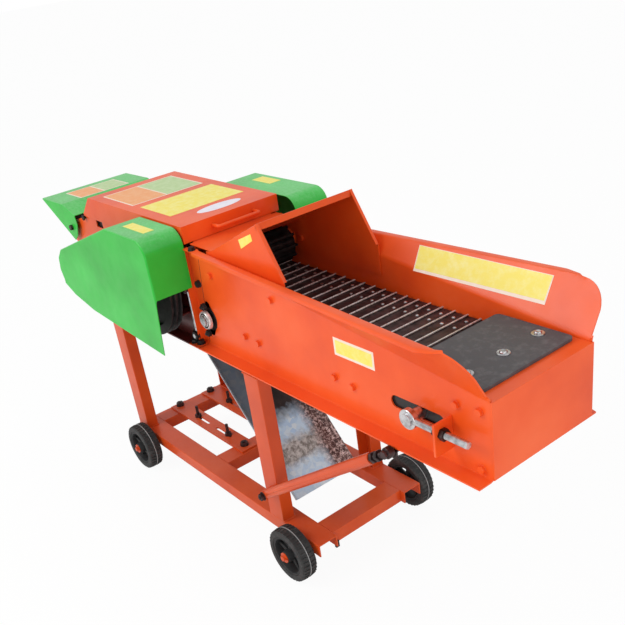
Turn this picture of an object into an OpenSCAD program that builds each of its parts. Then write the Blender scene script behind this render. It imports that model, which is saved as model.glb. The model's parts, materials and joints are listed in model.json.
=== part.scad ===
// Chaff cutter with a slatted feed conveyor, on a wheeled base.
// X runs from the discharge hood to the feed end, Y from the near side to the far side, Z up.
// Shapes are drawn from the rear end of the base rails, and paint() then moves the origin
// to the floor under the middle of the whole machine.

/* [Base] */
// Length of the base rails
base_l = 990; // [900:10:1200]
// Overall width over the base rails
base_w = 372; // [350:2:460]
// Height of the rail tops over the floor
rail_top = 121; // [110:1:160]
// Web width of the rail and leg channel
chan_w = 63; // [50:1:80]
// Flange depth of the rail and leg channel
chan_d = 38; // [30:1:45]
// Wall of the rail and leg channel
chan_t = 4.5; // [3:0.5:7]
// Start of the middle cross channel
mid_x = 402; // [380:2:430]
// Start of the front leg
front_leg_x = 775; // [740:5:820]

/* [Wheels] */
// Wheel diameter
wheel_d = 156; // [130:2:180]
// Wheel width
wheel_w = 47; // [30:1:55]
// Gap between a wheel and the base rail
wheel_gap = 10; // [6:1:20]
// Tyre thickness
tyre_t = 20; // [10:1:25]
// Axle diameter
axle_d = 16; // [12:1:20]
// Rear axle position along the base
axle_rear_x = 85; // [60:1:120]
// Front axle position along the base
axle_front_x = 912; // [860:1:940]

/* [Body] */
// Width over the side plates of chamber and trough
body_w = 300; // [260:2:340]
// Side plate thickness
plate_t = 4; // [3:0.5:6]
// Height of the underside of the body
floor_z = 573; // [520:1:640]
// Height of the top channel
top_h = 90; // [70:2:100]
// Outward reach of the trough lip and the top channel
lip_w = 38; // [30:1:45]
// Height of the lid top over the underside
lid_h = 331; // [320:1:360]
// Front face of the lid
lid_x1 = 551; // [540:1:560]
// Lid hinge position along the machine
hinge_x = -74; // [-76:1:-72]
// Height of the lid hinge over the underside
hinge_h = 260; // [258:1:262]
// Pivot of the discharge hood along the machine
visor_x = -174; // [-176:1:-165]
// Height of that pivot over the underside
visor_h = 214; // [203:1:218]
// Rotor shaft position along the machine
rotor_x = 400; // [390:1:410]
// Rotor shaft height over the underside
rotor_h = 163; // [156:1:170]
// Radius over the rotor knives
rotor_r = 134; // [120:1:136]
// Rotor shaft diameter
shaft_d = 40; // [30:1:50]

/* [Trough] */
// Outer end of the trough
trough_end = 1561; // [1540:1:1700]
// Deck height over the underside, at the outer end
deck_h = 173; // [171:1:188]
// Height of the rolled rim over the underside
rim_h = 277; // [268:1:288]
// Outward flare of the rim at the outer end
flare = 56; // [20:2:80]
// Width of the rim lip
rim_lip = 18; // [8:1:24]

/* [Conveyor] */
// Conveyor shaft height over the underside
conv_h = 85; // [78:1:92]
// Head shaft position along the machine
head_x = 597; // [594:1:606]
// Distance between the conveyor shafts
conv_l = 781; // [700:1:800]
// Number of slats on the conveyor
slat_n = 50; // [20:1:60]
// Pitch radius of the conveyor sprockets
sprocket_r = 54.85; // [50:0.05:58]
// Distance between the two chains
chain_gap = 186; // [150:2:200]
// Slat width along the machine
slat_w = 30; // [20:1:34]
// Conveyor shaft diameter
conv_d = 28; // [20:1:30]
// Take-up slot length
slot_l = 150; // [110:2:160]

/* [Feed hood] */
// Top front edge of the feed hood
hood_x = 888; // [840:2:940]
// Height of the top front edge over the underside
hood_h = 388; // [350:2:420]
// Rear tip of the discharge hood
hood_tip = -381; // [-420:1:-340]

/* [Guards] */
// Depth of the two side guards
guard_d = 114; // [100:1:130]
// Guard sheet thickness
guard_t = 2; // [1.5:0.5:3]

/* [Gears] */
// Gear module
gear_m = 3.5; // [3:0.5:4]
// Teeth on the rotor pinion
pinion_n = 17; // [17:1:20]
// Teeth on the counter gear
gear_n = 51; // [34:1:52]
// Direction of the counter gear from the rotor
gear_dir = 2; // [0:1:6]

/* [Fits] */
// Radial running clearance of shafts in their bearings
run_gap = 0.05; // [0.02:0.01:0.1]
// Radial gap of parts fixed on one shaft
fix_gap = 0.05; // [0.02:0.01:0.1]

/* [Motor bars] */
// Centre of the near motor bar from the centre line
bar_y0 = -33; // [-60:1:0]
// Distance between the two motor bars
bar_pitch = 128; // [90:2:140]
// Slot length in the motor bars
bar_slot = 90; // [40:2:100]
// Distance between the slots of one motor bar
bar_slot_p = 132; // [110:2:150]
// Slot width in the motor bars
bar_slot_w = 11; // [8:0.5:14]

/* [Hidden] */

eps = 0.01;
base_h = base_w / 2;
body_h = body_w / 2;
in_h = body_h - plate_t;
leg_y = base_h - chan_d;
axle_z = wheel_d / 2;
wheel_y = base_h + wheel_gap + wheel_w / 2;
origin_x = (trough_end + 5 + hood_tip) / 2;
lid_z = floor_z + lid_h;
hinge_z = floor_z + hinge_h;
visor_z = floor_z + visor_h;
rotor_z = floor_z + rotor_h;
deck_z = floor_z + deck_h;
rim_z = floor_z + rim_h;
conv_z = floor_z + conv_h;
hood_z = floor_z + hood_h;
top_z = floor_z + top_h;
trough_x0 = lid_x1 - 10;
rim_end = trough_end - 61;
flare_a = atan2(flare, rim_z - (deck_z + 0.1 * (trough_end - rim_end)));
tail_x = head_x + conv_l;
loop_l = 2 * conv_l + 2 * PI * sprocket_r;
slat_p = loop_l / slat_n;
band_h = 9;
slat_r = sprocket_r + band_h;
tip_r = sprocket_r - 6.6;
pinion_r = gear_m * pinion_n / 2;
gear_r = gear_m * gear_n / 2;
gear_x = rotor_x + (pinion_r + gear_r) * cos(gear_dir);
gear_z = rotor_z + (pinion_r + gear_r) * sin(gear_dir);
drive_d = sqrt(pow(gear_x - head_x, 2) + pow(gear_z - conv_z, 2));
drive_a = atan2(conv_z - gear_z, head_x - gear_x);
arm_x = lid_x1 + 6;
arm_z = floor_z + 260;
roller_x = head_x + 18;
roller_z = conv_z + slat_r + 68;
bearing_t = 18;
near_guard_y = -body_h - 10 - guard_d;
orange = [0.94, 0.38, 0.2];
green = [0.33, 0.75, 0.38];
steel = [0.6, 0.6, 0.6];
dark = [0.15, 0.15, 0.15];

// Colours a sub-part and moves the origin under the middle of the machine
module paint(c) translate([-origin_x, 0, 0]) color(c) children();

// Turns a shape drawn in the XZ plane, with its thickness along Y from y0 to y0 + t
module slab(y0, t) {
  translate([0, y0 + t, 0]) rotate([90, 0, 0]) linear_extrude(t) children();
}

// Plate along Y whose outline is given by its heights over the underside
module plate(y0, t, points) slab(y0, t) translate([0, floor_z]) polygon(points);

// Cylinder along Y from y0 to y1
module ycyl(x, z, r, y0, y1) {
  translate([x, y0, z]) rotate([-90, 0, 0]) cylinder(r = r, h = y1 - y0);
}

// Cylinder along X from x0 to x1
module xcyl(y, z, r, x0, x1) {
  translate([x0, y, z]) rotate([0, 90, 0]) cylinder(r = r, h = x1 - x0);
}

// Hexagon along Y
module yhex(x, z, w, y0, y1) {
  translate([x, y0, z]) rotate([-90, 0, 0]) cylinder(d = w / cos(30), h = y1 - y0, $fn = 6);
}

module box(x0, x1, y0, y1, z0, z1) {
  translate([x0, y0, z0]) cube([x1 - x0, y1 - y0, z1 - z0]);
}

module both() {
  children();
  mirror([0, 1, 0]) children();
}

// Channel along X with its web up
module channel_x(x0, x1, y0, z1) {
  difference() {
    box(x0, x1, y0, y0 + chan_w, z1 - chan_d, z1);
    box(x0 - 1, x1 + 1, y0 + chan_t, y0 + chan_w - chan_t, z1 - chan_d - 1, z1 - chan_t);
  }
}

module base_rails() paint(orange) both() channel_x(0, base_l, -base_h, rail_top);

module cross_at(x) {
  y = base_h - chan_w;
  difference() {
    box(x, x + chan_w, -y, y, rail_top - chan_d, rail_top);
    box(x + chan_t, x + chan_w - chan_t, -y - 1, y + 1, rail_top - chan_d - 1, rail_top - chan_t);
  }
}

module cross_channels() paint(orange) {
  difference() {
    cross_at(3);
    for (k = [0, 1]) translate([27, bar_y0 + k * bar_pitch, rail_top - 20]) cylinder(r = 6.5, h = 40);
  }
  difference() {
    cross_at(mid_x);
    for (k = [0, 1]) {
      translate([mid_x + 26, bar_y0 + k * bar_pitch, rail_top - 20]) cylinder(r = 6.5, h = 40);
    }
  }
  cross_at(base_l - 17 - chan_w);
}

// Upright channel with its web outward
module leg_at(x, z1) {
  difference() {
    box(x, x + chan_w, -base_h, -leg_y, rail_top, z1);
    box(x + chan_t, x + chan_w - chan_t, -base_h + chan_t, -leg_y + 1, rail_top - 1, z1 + 1);
  }
}

module rear_legs() paint(orange) both() leg_at(7, floor_z);

module front_legs() paint(orange) both() leg_at(front_leg_x, floor_z - 2.5);

// Channel along the body with its web against the side plate and its flanges outward
module top_channel() difference() {
  box(-60, trough_x0 - 24, -body_h - lip_w, -body_h, floor_z, top_z);
  box(-61, trough_x0, -body_h - lip_w - 1, -body_h - chan_t, floor_z + chan_t, top_z - chan_t);
}

module top_channels() paint(orange) {
  top_channel();
  difference() {
    mirror([0, 1, 0]) top_channel();
    ycyl(gear_x, gear_z, gear_r + gear_m + 4, body_h + chan_t, body_h + lip_w + 1);
  }
}

module axle_at(x) {
  ycyl(x, axle_z, axle_d / 2, -wheel_y - wheel_w / 2 - 13, -base_h);
  box(x - 22, x + 22, -base_h, -base_h + 6, axle_z - 14, rail_top - chan_d);
  ycyl(x, axle_z, axle_d / 2 + 6, -wheel_y - wheel_w / 2 - 6.5, -wheel_y - wheel_w / 2 - 4);
}

module axles() paint(steel) both() {
  axle_at(axle_rear_x);
  axle_at(axle_front_x);
}

module tyre_at(x, s) {
  translate([x, s * wheel_y, axle_z]) rotate([90, 0, 0]) rotate_extrude() polygon([
    [wheel_d / 2 - tyre_t, -wheel_w / 2], [wheel_d / 2 - 5, -wheel_w / 2],
    [wheel_d / 2 - 1, -wheel_w / 2 + 4], [wheel_d / 2, 0], [wheel_d / 2 - 1, wheel_w / 2 - 4],
    [wheel_d / 2 - 5, wheel_w / 2], [wheel_d / 2 - tyre_t, wheel_w / 2]]);
}

module wheel_at(x, s) {
  r = wheel_d / 2 - tyre_t - fix_gap;
  translate([x, s * wheel_y, axle_z]) rotate([90, 0, 0]) difference() {
    union() {
      difference() {
        translate([0, 0, -wheel_w / 2 + 3]) cylinder(r = r, h = wheel_w - 6);
        translate([0, 0, -wheel_w]) cylinder(r = r - 7, h = 2 * wheel_w);
      }
      translate([0, 0, -wheel_w / 2 - 3]) cylinder(r = axle_d / 2 + 8, h = wheel_w + 6);
      for (k = [0:4]) rotate([0, 0, 72 * k]) {
        translate([axle_d / 2 + 4, -5, -8]) cube([r - axle_d / 2 - 8, 10, 16]);
      }
    }
    translate([0, 0, -wheel_w]) cylinder(r = axle_d / 2 + run_gap, h = 2 * wheel_w);
  }
}

module tyre_nf() paint(dark) tyre_at(axle_front_x, -1);
module tyre_nr() paint(dark) tyre_at(axle_rear_x, -1);
module tyre_ff() paint(dark) tyre_at(axle_front_x, 1);
module tyre_fr() paint(dark) tyre_at(axle_rear_x, 1);
module wheel_nf() paint(dark) wheel_at(axle_front_x, -1);
module wheel_nr() paint(dark) wheel_at(axle_rear_x, -1);
module wheel_ff() paint(dark) wheel_at(axle_front_x, 1);
module wheel_fr() paint(dark) wheel_at(axle_rear_x, 1);

module slot(x, y, l, w, z0, h) {
  translate([x - l / 2 + w / 2, y, z0]) cylinder(d = w, h = h);
  translate([x + l / 2 - w / 2, y, z0]) cylinder(d = w, h = h);
  translate([x - l / 2 + w / 2, y - w / 2, z0]) cube([l - w, w, h]);
}

bar_x0 = 10;
bar_x1 = mid_x + 55;

bar_s0 = 176;
bar_s1 = bar_s0 + bar_slot_p;
stud_off = 27;

module motor_bars() paint(orange) for (k = [0, 1]) {
  y = bar_y0 + k * bar_pitch;
  difference() {
    box(bar_x0, bar_x1, y - 29, y + 29, rail_top, rail_top + 6);
    slot(bar_s0, y, bar_slot, bar_slot_w, rail_top - 1, 10);
    slot(bar_s1, y, bar_slot, bar_slot_w, rail_top - 1, 10);
    translate([27, y, rail_top - 1]) cylinder(r = 6.5, h = 10);
    translate([mid_x + 26, y, rail_top - 1]) cylinder(r = 6.5, h = 10);
  }
}

module up_bolt(x, y, z0, z1, d) {
  translate([x, y, z0]) cylinder(d = d, h = z1 - z0);
  translate([x, y, z0 - d * 0.65]) cylinder(d = d * 1.8 / cos(30), h = d * 0.65, $fn = 6);
}

module nut_at(x, y, z, d) {
  translate([x, y, z]) cylinder(d = d * 2.3, h = 2);
  translate([x, y, z + 2]) cylinder(d = d * 1.8 / cos(30), h = d * 0.8, $fn = 6);
}

module motor_bolts() paint(dark) for (k = [0, 1]) {
  y = bar_y0 + k * bar_pitch;
  for (x = [27, mid_x + 26]) {
    up_bolt(x, y, rail_top - chan_t, rail_top + 20, 12);
    nut_at(x, y, rail_top + 6, 12);
  }
  for (x = [bar_s0 - stud_off, bar_s1 + stud_off]) {
    up_bolt(x, y, rail_top, rail_top + 46, 10);
    nut_at(x, y, rail_top + 6, 10);
  }
}

// Side plate of the trough, upright below the bend and flared above it
module trough_side(tip_w) {
  difference() {
    union() {
      slab(-body_h, plate_t) polygon([[trough_x0, floor_z], [trough_end, floor_z],
        [trough_end, deck_z], [trough_x0, rim_z]]);
      translate([0, 0, floor_z]) linear_extrude(4) polygon([[trough_x0, -body_h - lip_w],
        [trough_end - 60, -body_h - lip_w], [trough_end + 5, -body_h - tip_w], [trough_end + 5, -body_h],
        [trough_x0, -body_h]]);
      box(trough_x0, trough_x0 + 4, -body_h - 18, -body_h, floor_z + 4, rim_z - 5);
    }
    slot_xz(tail_x - slot_l / 2 - 8, conv_z, slot_l, conv_d + 1, -body_h - 1, plate_t + 2);
    ycyl(head_x, conv_z, 34, -body_h - 50, -in_h + 1);
    ycyl(head_x, conv_z, 50, -body_h - 50, -body_h - 0.5);
  }
  rim();
}

module slot_xz(x, z, l, w, y0, h) {
  ycyl(x - l / 2 + w / 2 + 75, z, w / 2, y0, y0 + h);
  ycyl(x + l / 2 - w / 2 + 75, z, w / 2, y0, y0 + h);
  box(x - l / 2 + w / 2 + 75, x + l / 2 - w / 2 + 75, y0, y0 + h, z - w / 2, z + w / 2);
}

// Flared rim, a flat sheet turned outward about the sloping bend
module rim() {
  fall = atan2(rim_z - deck_z, trough_end - trough_x0);
  lean = atan2(flare, rim_z - deck_z - sin(fall) * 61);
  h = flare / sin(lean);
  l = (trough_end - trough_x0) / cos(fall);
  u = (rim_end - trough_x0 - h * cos(lean) * sin(fall)) / cos(fall);
  translate([trough_x0, -body_h, rim_z]) rotate([0, fall, 0]) rotate([lean, 0, 0]) slab(0.4, plate_t - 1)
    polygon([[2, -2], [l - 2, -2], [l - 3, h * 0.1], [l - 5, h * 0.36], [l - 22, h * 0.7],
      [l - 40, h * 0.9], [u, h]]);
  translate([0, 0, rim_z - 1]) linear_extrude(3) polygon([[lid_x1 + 6, -body_h + 2],
    [rim_end - 2, -body_h - flare + 2], [rim_end - 6, -body_h - flare - rim_lip],
    [lid_x1 + 6, -body_h - rim_lip]]);
}

module trough_near() paint(orange) trough_side(lip_w);
module trough_far() paint(orange) mirror([0, 1, 0]) trough_side(lip_w / 2);

module slide_bed() paint(steel) {
  z = conv_z + sprocket_r - band_h - 1;
  box(head_x + 62, tail_x - 130, -in_h, in_h, z - 3, z);
  for (x = [head_x + 120, head_x + 380, tail_x - 190]) {
    box(x, x + 30, -in_h, in_h, z - 33, z - 3);
  }
}

module end_deck() paint(orange) {
  difference() {
    box(trough_end - 161, trough_end, -in_h, in_h, deck_z - 3, deck_z);
    for (y = [-105, 0, 105]) translate([trough_end - 95, y, deck_z - 10]) cylinder(r = 5.5, h = 20);
  }
  box(trough_end, trough_end + 4, -body_h, body_h, floor_z + 4, deck_z);
  box(trough_end - 30, trough_end, -in_h, in_h, floor_z, floor_z + 3);
}

module hood_side() {
  y = -in_h + 0.5;
  plate(y, 3, [[640, 188], [965, 188], [965, 266], [hood_x, hood_h], [665, 280], [640, 280]]);
}

module feed_hood() paint(orange) {
  both() hood_side();
  y = in_h - 0.5;
  plate(-y, 2 * y, [[665, 284], [hood_x, hood_h], [hood_x, hood_h - 3.5], [666, 280.6]]);
  box(hood_x, hood_x + 3, -y, y, hood_z - 16, hood_z + 3);
}

// Outline of a chamber side plate
module chamber_outline() {
  translate([0, floor_z]) polygon([[-60, 0], [trough_x0 - 1, 0], [trough_x0 - 1, 264], [43, 264], [43, 240],
    [0, 240], [0, 264], [-62, 264], [-88, 257], [-170, 235], [-187, 222], [-201, 163], [-150, 78]]);
  translate([hinge_x, hinge_z]) circle(r = 10.5);
}

module chamber_side() {
  difference() {
    slab(-body_h, plate_t) chamber_outline();
    ycyl(rotor_x, rotor_z, shaft_d / 2 + 8, -body_h - 1, -in_h + 1);
  }
}

module chamber_near() paint(orange) difference() {
  chamber_side();
  ycyl(visor_x, visor_z, 5.3, -body_h - 1, -in_h + 1);
  ycyl(hinge_x, hinge_z, 5, -body_h - 1, -in_h + 1);
}

module chamber_far() paint(orange) {
  difference() {
    mirror([0, 1, 0]) chamber_side();
    ycyl(visor_x, visor_z, 5.3, in_h - 1, body_h + 1);
    ycyl(hinge_x, hinge_z, 5, in_h - 1, body_h + 1);
  }
  ycyl(gear_x, gear_z, 11, body_h, body_h + 64);
  ycyl(gear_x, gear_z, 19, body_h, body_h + 10);
}

// Curved housing behind and under the rotor, with kneading teeth inside
module concave() paint(steel) {
  r = rotor_r + 14;
  slab(-in_h, 2 * in_h) difference() {
    translate([rotor_x, rotor_z]) circle(r = r + 4);
    translate([rotor_x, rotor_z]) circle(r = r);
    translate([rotor_x, rotor_z]) polygon([[0, 0], [-120, -400], [400, -400], [400, 400], [-60, 400]]);
  }
  for (k = [0:4]) rotate_about(rotor_x, rotor_z, 118 + 30 * k) {
    box(rotor_x + r - 9, rotor_x + r + 1, -in_h, in_h, rotor_z - 5, rotor_z + 5);
  }
}

module rotate_about(x, z, a) {
  translate([x, 0, z]) rotate([0, -a, 0]) translate([-x, 0, -z]) children();
}

module chamber_front() paint(orange) {
  y = in_h - 19;
  box(trough_x0 + 15, 664, -in_h + 4, in_h - 4, floor_z + 281, floor_z + 284);
  box(trough_x0 + 1, trough_x0 + 4.8, -y, y, floor_z + 210, floor_z + 254);
  box(trough_x0 + 1, trough_x0 + 15, -y, y, floor_z + 254, floor_z + 284);
}

module shear_bar() paint(steel) {
  box(rotor_x + rotor_r + 3, roller_x - 28, -in_h, in_h, conv_z + slat_r + 12, conv_z + slat_r + 22);
}

// Lid: a shallow box, open below, with a sloping rear
module lid() paint(orange) {
  y = body_h + 5;
  difference() {
    plate(-y, 2 * y, [[-79, 265], [-6, lid_h], [lid_x1, lid_h], [lid_x1, 278], [trough_x0 + 6, 278],
      [trough_x0 + 6, 265]]);
    plate(-y + 4, 2 * y - 8, [[-76, 258], [-4.3, lid_h - 4], [lid_x1 - 4, lid_h - 4], [lid_x1 - 4, 258]]);
    box(trough_x0 - 4, lid_x1 + 1, -y - 1, y + 1, floor_z + 188, floor_z + 285);
    both() ycyl(hinge_x, hinge_z, 12, -y - 1, -in_h + 0.5);
  }
  both() slab(-in_h + 0.5, 5) difference() {
    union() {
      translate([hinge_x, hinge_z]) circle(r = 9);
      translate([0, floor_z])
        polygon([[-79, 265], [-74, 252], [-20, 293], [5, lid_h - 4], [-4.3, lid_h - 4]]);
    }
    translate([hinge_x, hinge_z]) circle(r = 5);
  }
  both() for (x = [30, 500]) box(x, x + 30, -y + 4 - eps, -in_h + 5.5, lid_z - 12, lid_z - 4 + eps);
}

module lid_handle() paint(orange) {
  r = 5;
  x = lid_x1;
  z = lid_z - 22;
  for (s = [-60, 72]) xcyl(s, z, r, x, x + 30);
  translate([x + 30, -60, z]) rotate([-90, 0, 0]) cylinder(r = r, h = 132);
  for (s = [-60, 72]) translate([x + 30, s, z]) sphere(r = r);
}

module hinge_pins() paint(steel) both() {
  ycyl(hinge_x, hinge_z, 5 - run_gap, -body_h - 6, -in_h + 7);
  ycyl(hinge_x, hinge_z, 9, -body_h - 10, -body_h - 6);
}

// Tilting discharge hood with two cheeks
module rear_hood() paint(green) {
  y = body_h + 13;
  t = guard_t;
  both() difference() {
    plate(-y, t, [[hood_tip, 281], [-220, 283], [-135, 258], [-128, 228], [-150, 188], [-176, 170]]);
    ycyl(visor_x, visor_z, 5.3, -y - 1, -y + t + 1);
  }
  plate(-y + t, 2 * y - 2 * t, [[hood_tip, 281], [-220, 283], [-135, 258], [-135.6, 256.1],
    [-220.3, 281], [hood_tip + 1, 279]]);
}

module hood_pivots() paint(dark) both() {
  ycyl(visor_x, visor_z, 5, -body_h - 22, -in_h + 12);
  ycyl(visor_x, visor_z, 10, -body_h - 10.9, -body_h);
  yhex(visor_x, visor_z, 16, -body_h - 22, -body_h - 13.1);
  yhex(visor_x, visor_z, 16, -in_h, -in_h + 8);
}

// Near guard over the main pulley, open below and towards the chamber
module guard_outline() {
  translate([0, floor_z]) polygon([[-81, 127], [-69, 168], [-35, 199], [338, 328], [510, 328], [536, 321],
    [550, 306], [555, 283], [555, 168], [532, 5], [112, 33], [-8, 57], [-67, 82]]);
}

module guard_inner() {
  translate([0, floor_z]) polygon([[-78, 78], [-78.8, 127.3], [-67.2, 167], [-33.8, 197.3], [338.3, 326],
    [509.7, 326], [534.9, 319.3], [548.1, 305.1], [553, 282.7], [553, -12], [-60, -12]]);
}

module belt_guard() paint(green) {
  slab(near_guard_y, guard_t) guard_outline();
  difference() {
    slab(near_guard_y + guard_t, guard_d - guard_t) guard_outline();
    slab(near_guard_y - 1, guard_d + 2) guard_inner();
    box(-200, 700, near_guard_y, 0, floor_z - 112, floor_z + 96);
    box(500, 700, near_guard_y + guard_t, 0, floor_z - 112, floor_z + 168);
  }
}

// Far guard over the gears and the drive chain
module gear_outline() {
  translate([0, floor_z]) polygon([[-81, 127], [-69, 168], [-35, 199], [285, 328], [580, 328], [606, 321],
    [620, 306], [625, 283], [690, 188], [690, 28], [520, 13], [112, 33], [-8, 57], [-67, 82]]);
}

module gear_inner() {
  translate([0, floor_z]) polygon([[-78, 78], [-78.8, 127.3], [-67.2, 167], [-33.8, 197.3], [285.4, 326],
    [579.7, 326], [604.9, 319.3], [618.1, 305.1], [623, 282.4], [688, 187.4], [688, -12], [-60, -12]]);
}

module gear_guard() paint(green) {
  y = body_h + 10 + guard_d;
  slab(y - guard_t, guard_t) gear_outline();
  difference() {
    slab(y - guard_d, guard_d - guard_t) gear_outline();
    slab(y - guard_d - 1, guard_d + 2) gear_inner();
    box(-200, 800, 0, y, floor_z - 112, floor_z + 96);
    box(600, 800, 0, body_h + 80, floor_z - 112, floor_z + 298);
  }
}

// Folded sheet chute that runs down from the chamber, its edges turned up
module chute() paint(steel) {
  a = 47;
  l = 600;
  translate([790, 0, rail_top + 4]) rotate([0, a, 0]) translate([-l, 0, 0]) rotate([0, 90, 0])
    rotate([0, 0, 90]) linear_extrude(l) polygon([[-116, 22], [-100, 0], [100, 0], [116, 22],
      [114, 23], [99, 2], [-99, 2], [-114, 23]]);
}

stay_x0 = front_leg_x + 32;
stay_x1 = trough_end - 231;
stay_y = -max(base_h, body_h + lip_w) - 14;
stay_z0 = rail_top + 91;
stay_z1 = floor_z - 4;
stay_a = atan2(stay_z1 - stay_z0, stay_x1 - stay_x0);
stay_l = sqrt(pow(stay_x1 - stay_x0, 2) + pow(stay_z1 - stay_z0, 2));
module stay_dir() translate([stay_x0, stay_y, stay_z0]) rotate([0, 90 - stay_a, 0]) children();

module stay_tube() paint(orange) {
  stay_dir() difference() {
    cylinder(r = 14, h = stay_l - 66);
    translate([0, 0, stay_l - 96]) cylinder(r = 7.05, h = 60);
  }
  ycyl(stay_x0, stay_z0, 14, stay_y - 14, -base_h);
}

// Threaded end of the stay, its two nuts, the eye and the lug under the trough flange
module stay_screw() paint(steel) {
  stay_dir() {
    translate([0, 0, stay_l - 90]) cylinder(r = 7, h = 84);
    translate([0, 0, stay_l - 65.5]) cylinder(r = 13.5, h = 11, $fn = 6);
    translate([0, 0, stay_l - 44]) cylinder(r = 13.5, h = 11, $fn = 6);
  }
  lug_y = -body_h - lip_w - 0.5;
  ycyl(stay_x1, stay_z1, 13, stay_y - 8, lug_y - 5);
  ycyl(stay_x1, stay_z1, 6, stay_y - 15, lug_y);
  yhex(stay_x1, stay_z1, 17, stay_y - 15, stay_y - 8);
  box(stay_x1 - 14, stay_x1 + 14, lug_y - 5, lug_y, stay_z1 - 18, floor_z - 0.5);
  box(stay_x1 - 14, stay_x1 + 14, lug_y - 5, -body_h - 6, floor_z - 4.5, floor_z - 0.5);
}

module takeup_brackets() paint(orange) both() difference() {
  box(tail_x + 82, tail_x + 88, -body_h - 50, -body_h, conv_z - 46, conv_z + 26);
  xcyl(-body_h - 30, conv_z, 8.3, tail_x + 80, tail_x + 90);
}

module takeup_screws() paint(steel) both() difference() {
  union() {
    xcyl(-body_h - 30, conv_z, 8, tail_x + 14, tail_x + 155);
    ycyl(tail_x, conv_z, 22, -body_h - 37, -body_h - 23);
  }
  ycyl(tail_x, conv_z, conv_d / 2 + run_gap, -body_h - 50, -body_h);
}

module takeup_nuts() paint(steel) both() for (x = [tail_x + 71, tail_x + 88]) difference() {
  translate([x, -body_h - 30, conv_z]) rotate([0, 90, 0]) cylinder(r = 14, h = 11, $fn = 6);
  xcyl(-body_h - 30, conv_z, 8.3, x - 1, x + 12);
}

module tail_shaft() paint(steel) ycyl(tail_x, conv_z, conv_d / 2, -body_h - 41, body_h + 41);

module sprocket(x, z, y, r, n, w, bore) {
  translate([x, y + w / 2, z]) rotate([90, 0, 0]) difference() {
    linear_extrude(w) polygon([for (k = [0:n - 1])
      for (q = [[r - 5.5, -0.28], [r, -0.1], [r, 0.1], [r - 5.5, 0.28]])
        [q[0] * cos(360 * (k + q[1]) / n), q[0] * sin(360 * (k + q[1]) / n)]]);
    translate([0, 0, -1]) cylinder(r = bore, h = w + 2);
  }
}

module hub_ring(x, z, y0, y1, r, bore) {
  difference() {
    ycyl(x, z, r, y0, y1);
    ycyl(x, z, bore, y0 - 1, y1 + 1);
  }
}

module conv_sprockets(x) {
  for (s = [-1, 1]) {
    sprocket(x, conv_z, s * chain_gap / 2, tip_r, 18, 10, conv_d / 2 + fix_gap);
    hub_ring(x, conv_z, s * chain_gap / 2 - 20, s * chain_gap / 2 + 20, 24, conv_d / 2 + fix_gap);
  }
}

module tail_sprockets() paint(steel) conv_sprockets(tail_x);

module head_shaft() paint(steel) ycyl(head_x, conv_z, conv_d / 2, -body_h - 24, body_h + 62);

drive_r = 44;
module head_sprockets() paint(steel) {
  conv_sprockets(head_x);
  sprocket(head_x, conv_z, body_h + 52, drive_r - 7, 14, 8, conv_d / 2 + fix_gap);
  hub_ring(head_x, conv_z, body_h + 46, body_h + 60, 24, conv_d / 2 + fix_gap);
}

// Two-bolt flange bearings, along with the round ones on the rotor shaft
module bearing_oval(x, z, bore, y0, s) {
  translate([x, y0, z]) scale([1, s, 1]) rotate([0, 0, 0]) difference() {
    union() {
      for (q = [-38, 38]) translate([0, 0, q]) rotate([-90, 0, 0]) cylinder(r = 13, h = 9);
      rotate([-90, 0, 0]) cylinder(r = 33, h = 12);
      translate([-13, 0, -38]) cube([26, 9, 76]);
      rotate([-90, 0, 0]) cylinder(r = 24, h = bearing_t);
      for (q = [-38, 38]) translate([0, 9, q]) rotate([-90, 0, 0]) cylinder(r = 9, h = 7, $fn = 6);
    }
    translate([0, -1, 0]) rotate([-90, 0, 0]) cylinder(r = bore, h = 60);
  }
}

module flange_bearings() paint(dark) {
  mirror([0, 1, 0]) bearing_oval(head_x, conv_z, conv_d / 2 + run_gap, body_h, 1);
  bearing_oval(head_x, conv_z, conv_d / 2 + run_gap, body_h, 1);
  for (s = [0, 1]) mirror([0, s, 0]) difference() {
    union() {
      ycyl(rotor_x, rotor_z, 56, body_h, body_h + 10);
      ycyl(rotor_x, rotor_z, 40, body_h, body_h + 20);
      for (a = [45:90:315]) yhex(rotor_x + 46 * cos(a), rotor_z + 46 * sin(a), 14, body_h + 10, body_h + 17);
    }
    ycyl(rotor_x, rotor_z, shaft_d / 2 + run_gap, body_h - 1, body_h + 30);
  }
}

// Stadium ring in the XZ plane
module stadium(x0, x1, z, r) {
  translate([x0, z]) circle(r = r);
  translate([x1, z]) circle(r = r);
  translate([x0, z - r]) square([x1 - x0, 2 * r]);
}

module band(y0, t) {
  slab(y0, t) difference() {
    stadium(head_x, tail_x, conv_z, sprocket_r + band_h);
    stadium(head_x, tail_x, conv_z, sprocket_r - band_h);
  }
}

// Carries a child to the place s along a loop of length l between the centres, its outside up
module on_belt(s, l, r) {
  arc = PI * r;
  if (s < l) translate([s, 0, r]) children();
  else if (s < l + arc)
    translate([l, 0, 0]) rotate([0, (s - l) / arc * 180, 0]) translate([0, 0, r]) children();
  else if (s < 2 * l + arc) translate([l - (s - l - arc), 0, -r]) rotate([0, 180, 0]) children();
  else rotate([0, 180 + (s - 2 * l - arc) / arc * 180, 0]) translate([0, 0, r]) children();
}

module on_loop(s) translate([head_x, 0, conv_z]) on_belt(s, conv_l, sprocket_r) children();

module chains() paint(steel) {
  for (s = [-1, 1]) for (t = [-1, 1]) band(s * chain_gap / 2 + t * 8.5 - 1.5, 3);
  for (k = [0:slat_n - 1]) on_loop((k + 0.5) * slat_p) for (s = [-1, 1]) {
    translate([0, s * chain_gap / 2 - 7.2, 0]) rotate([-90, 0, 0]) cylinder(r = 5.9, h = 14.4);
  }
}

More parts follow.
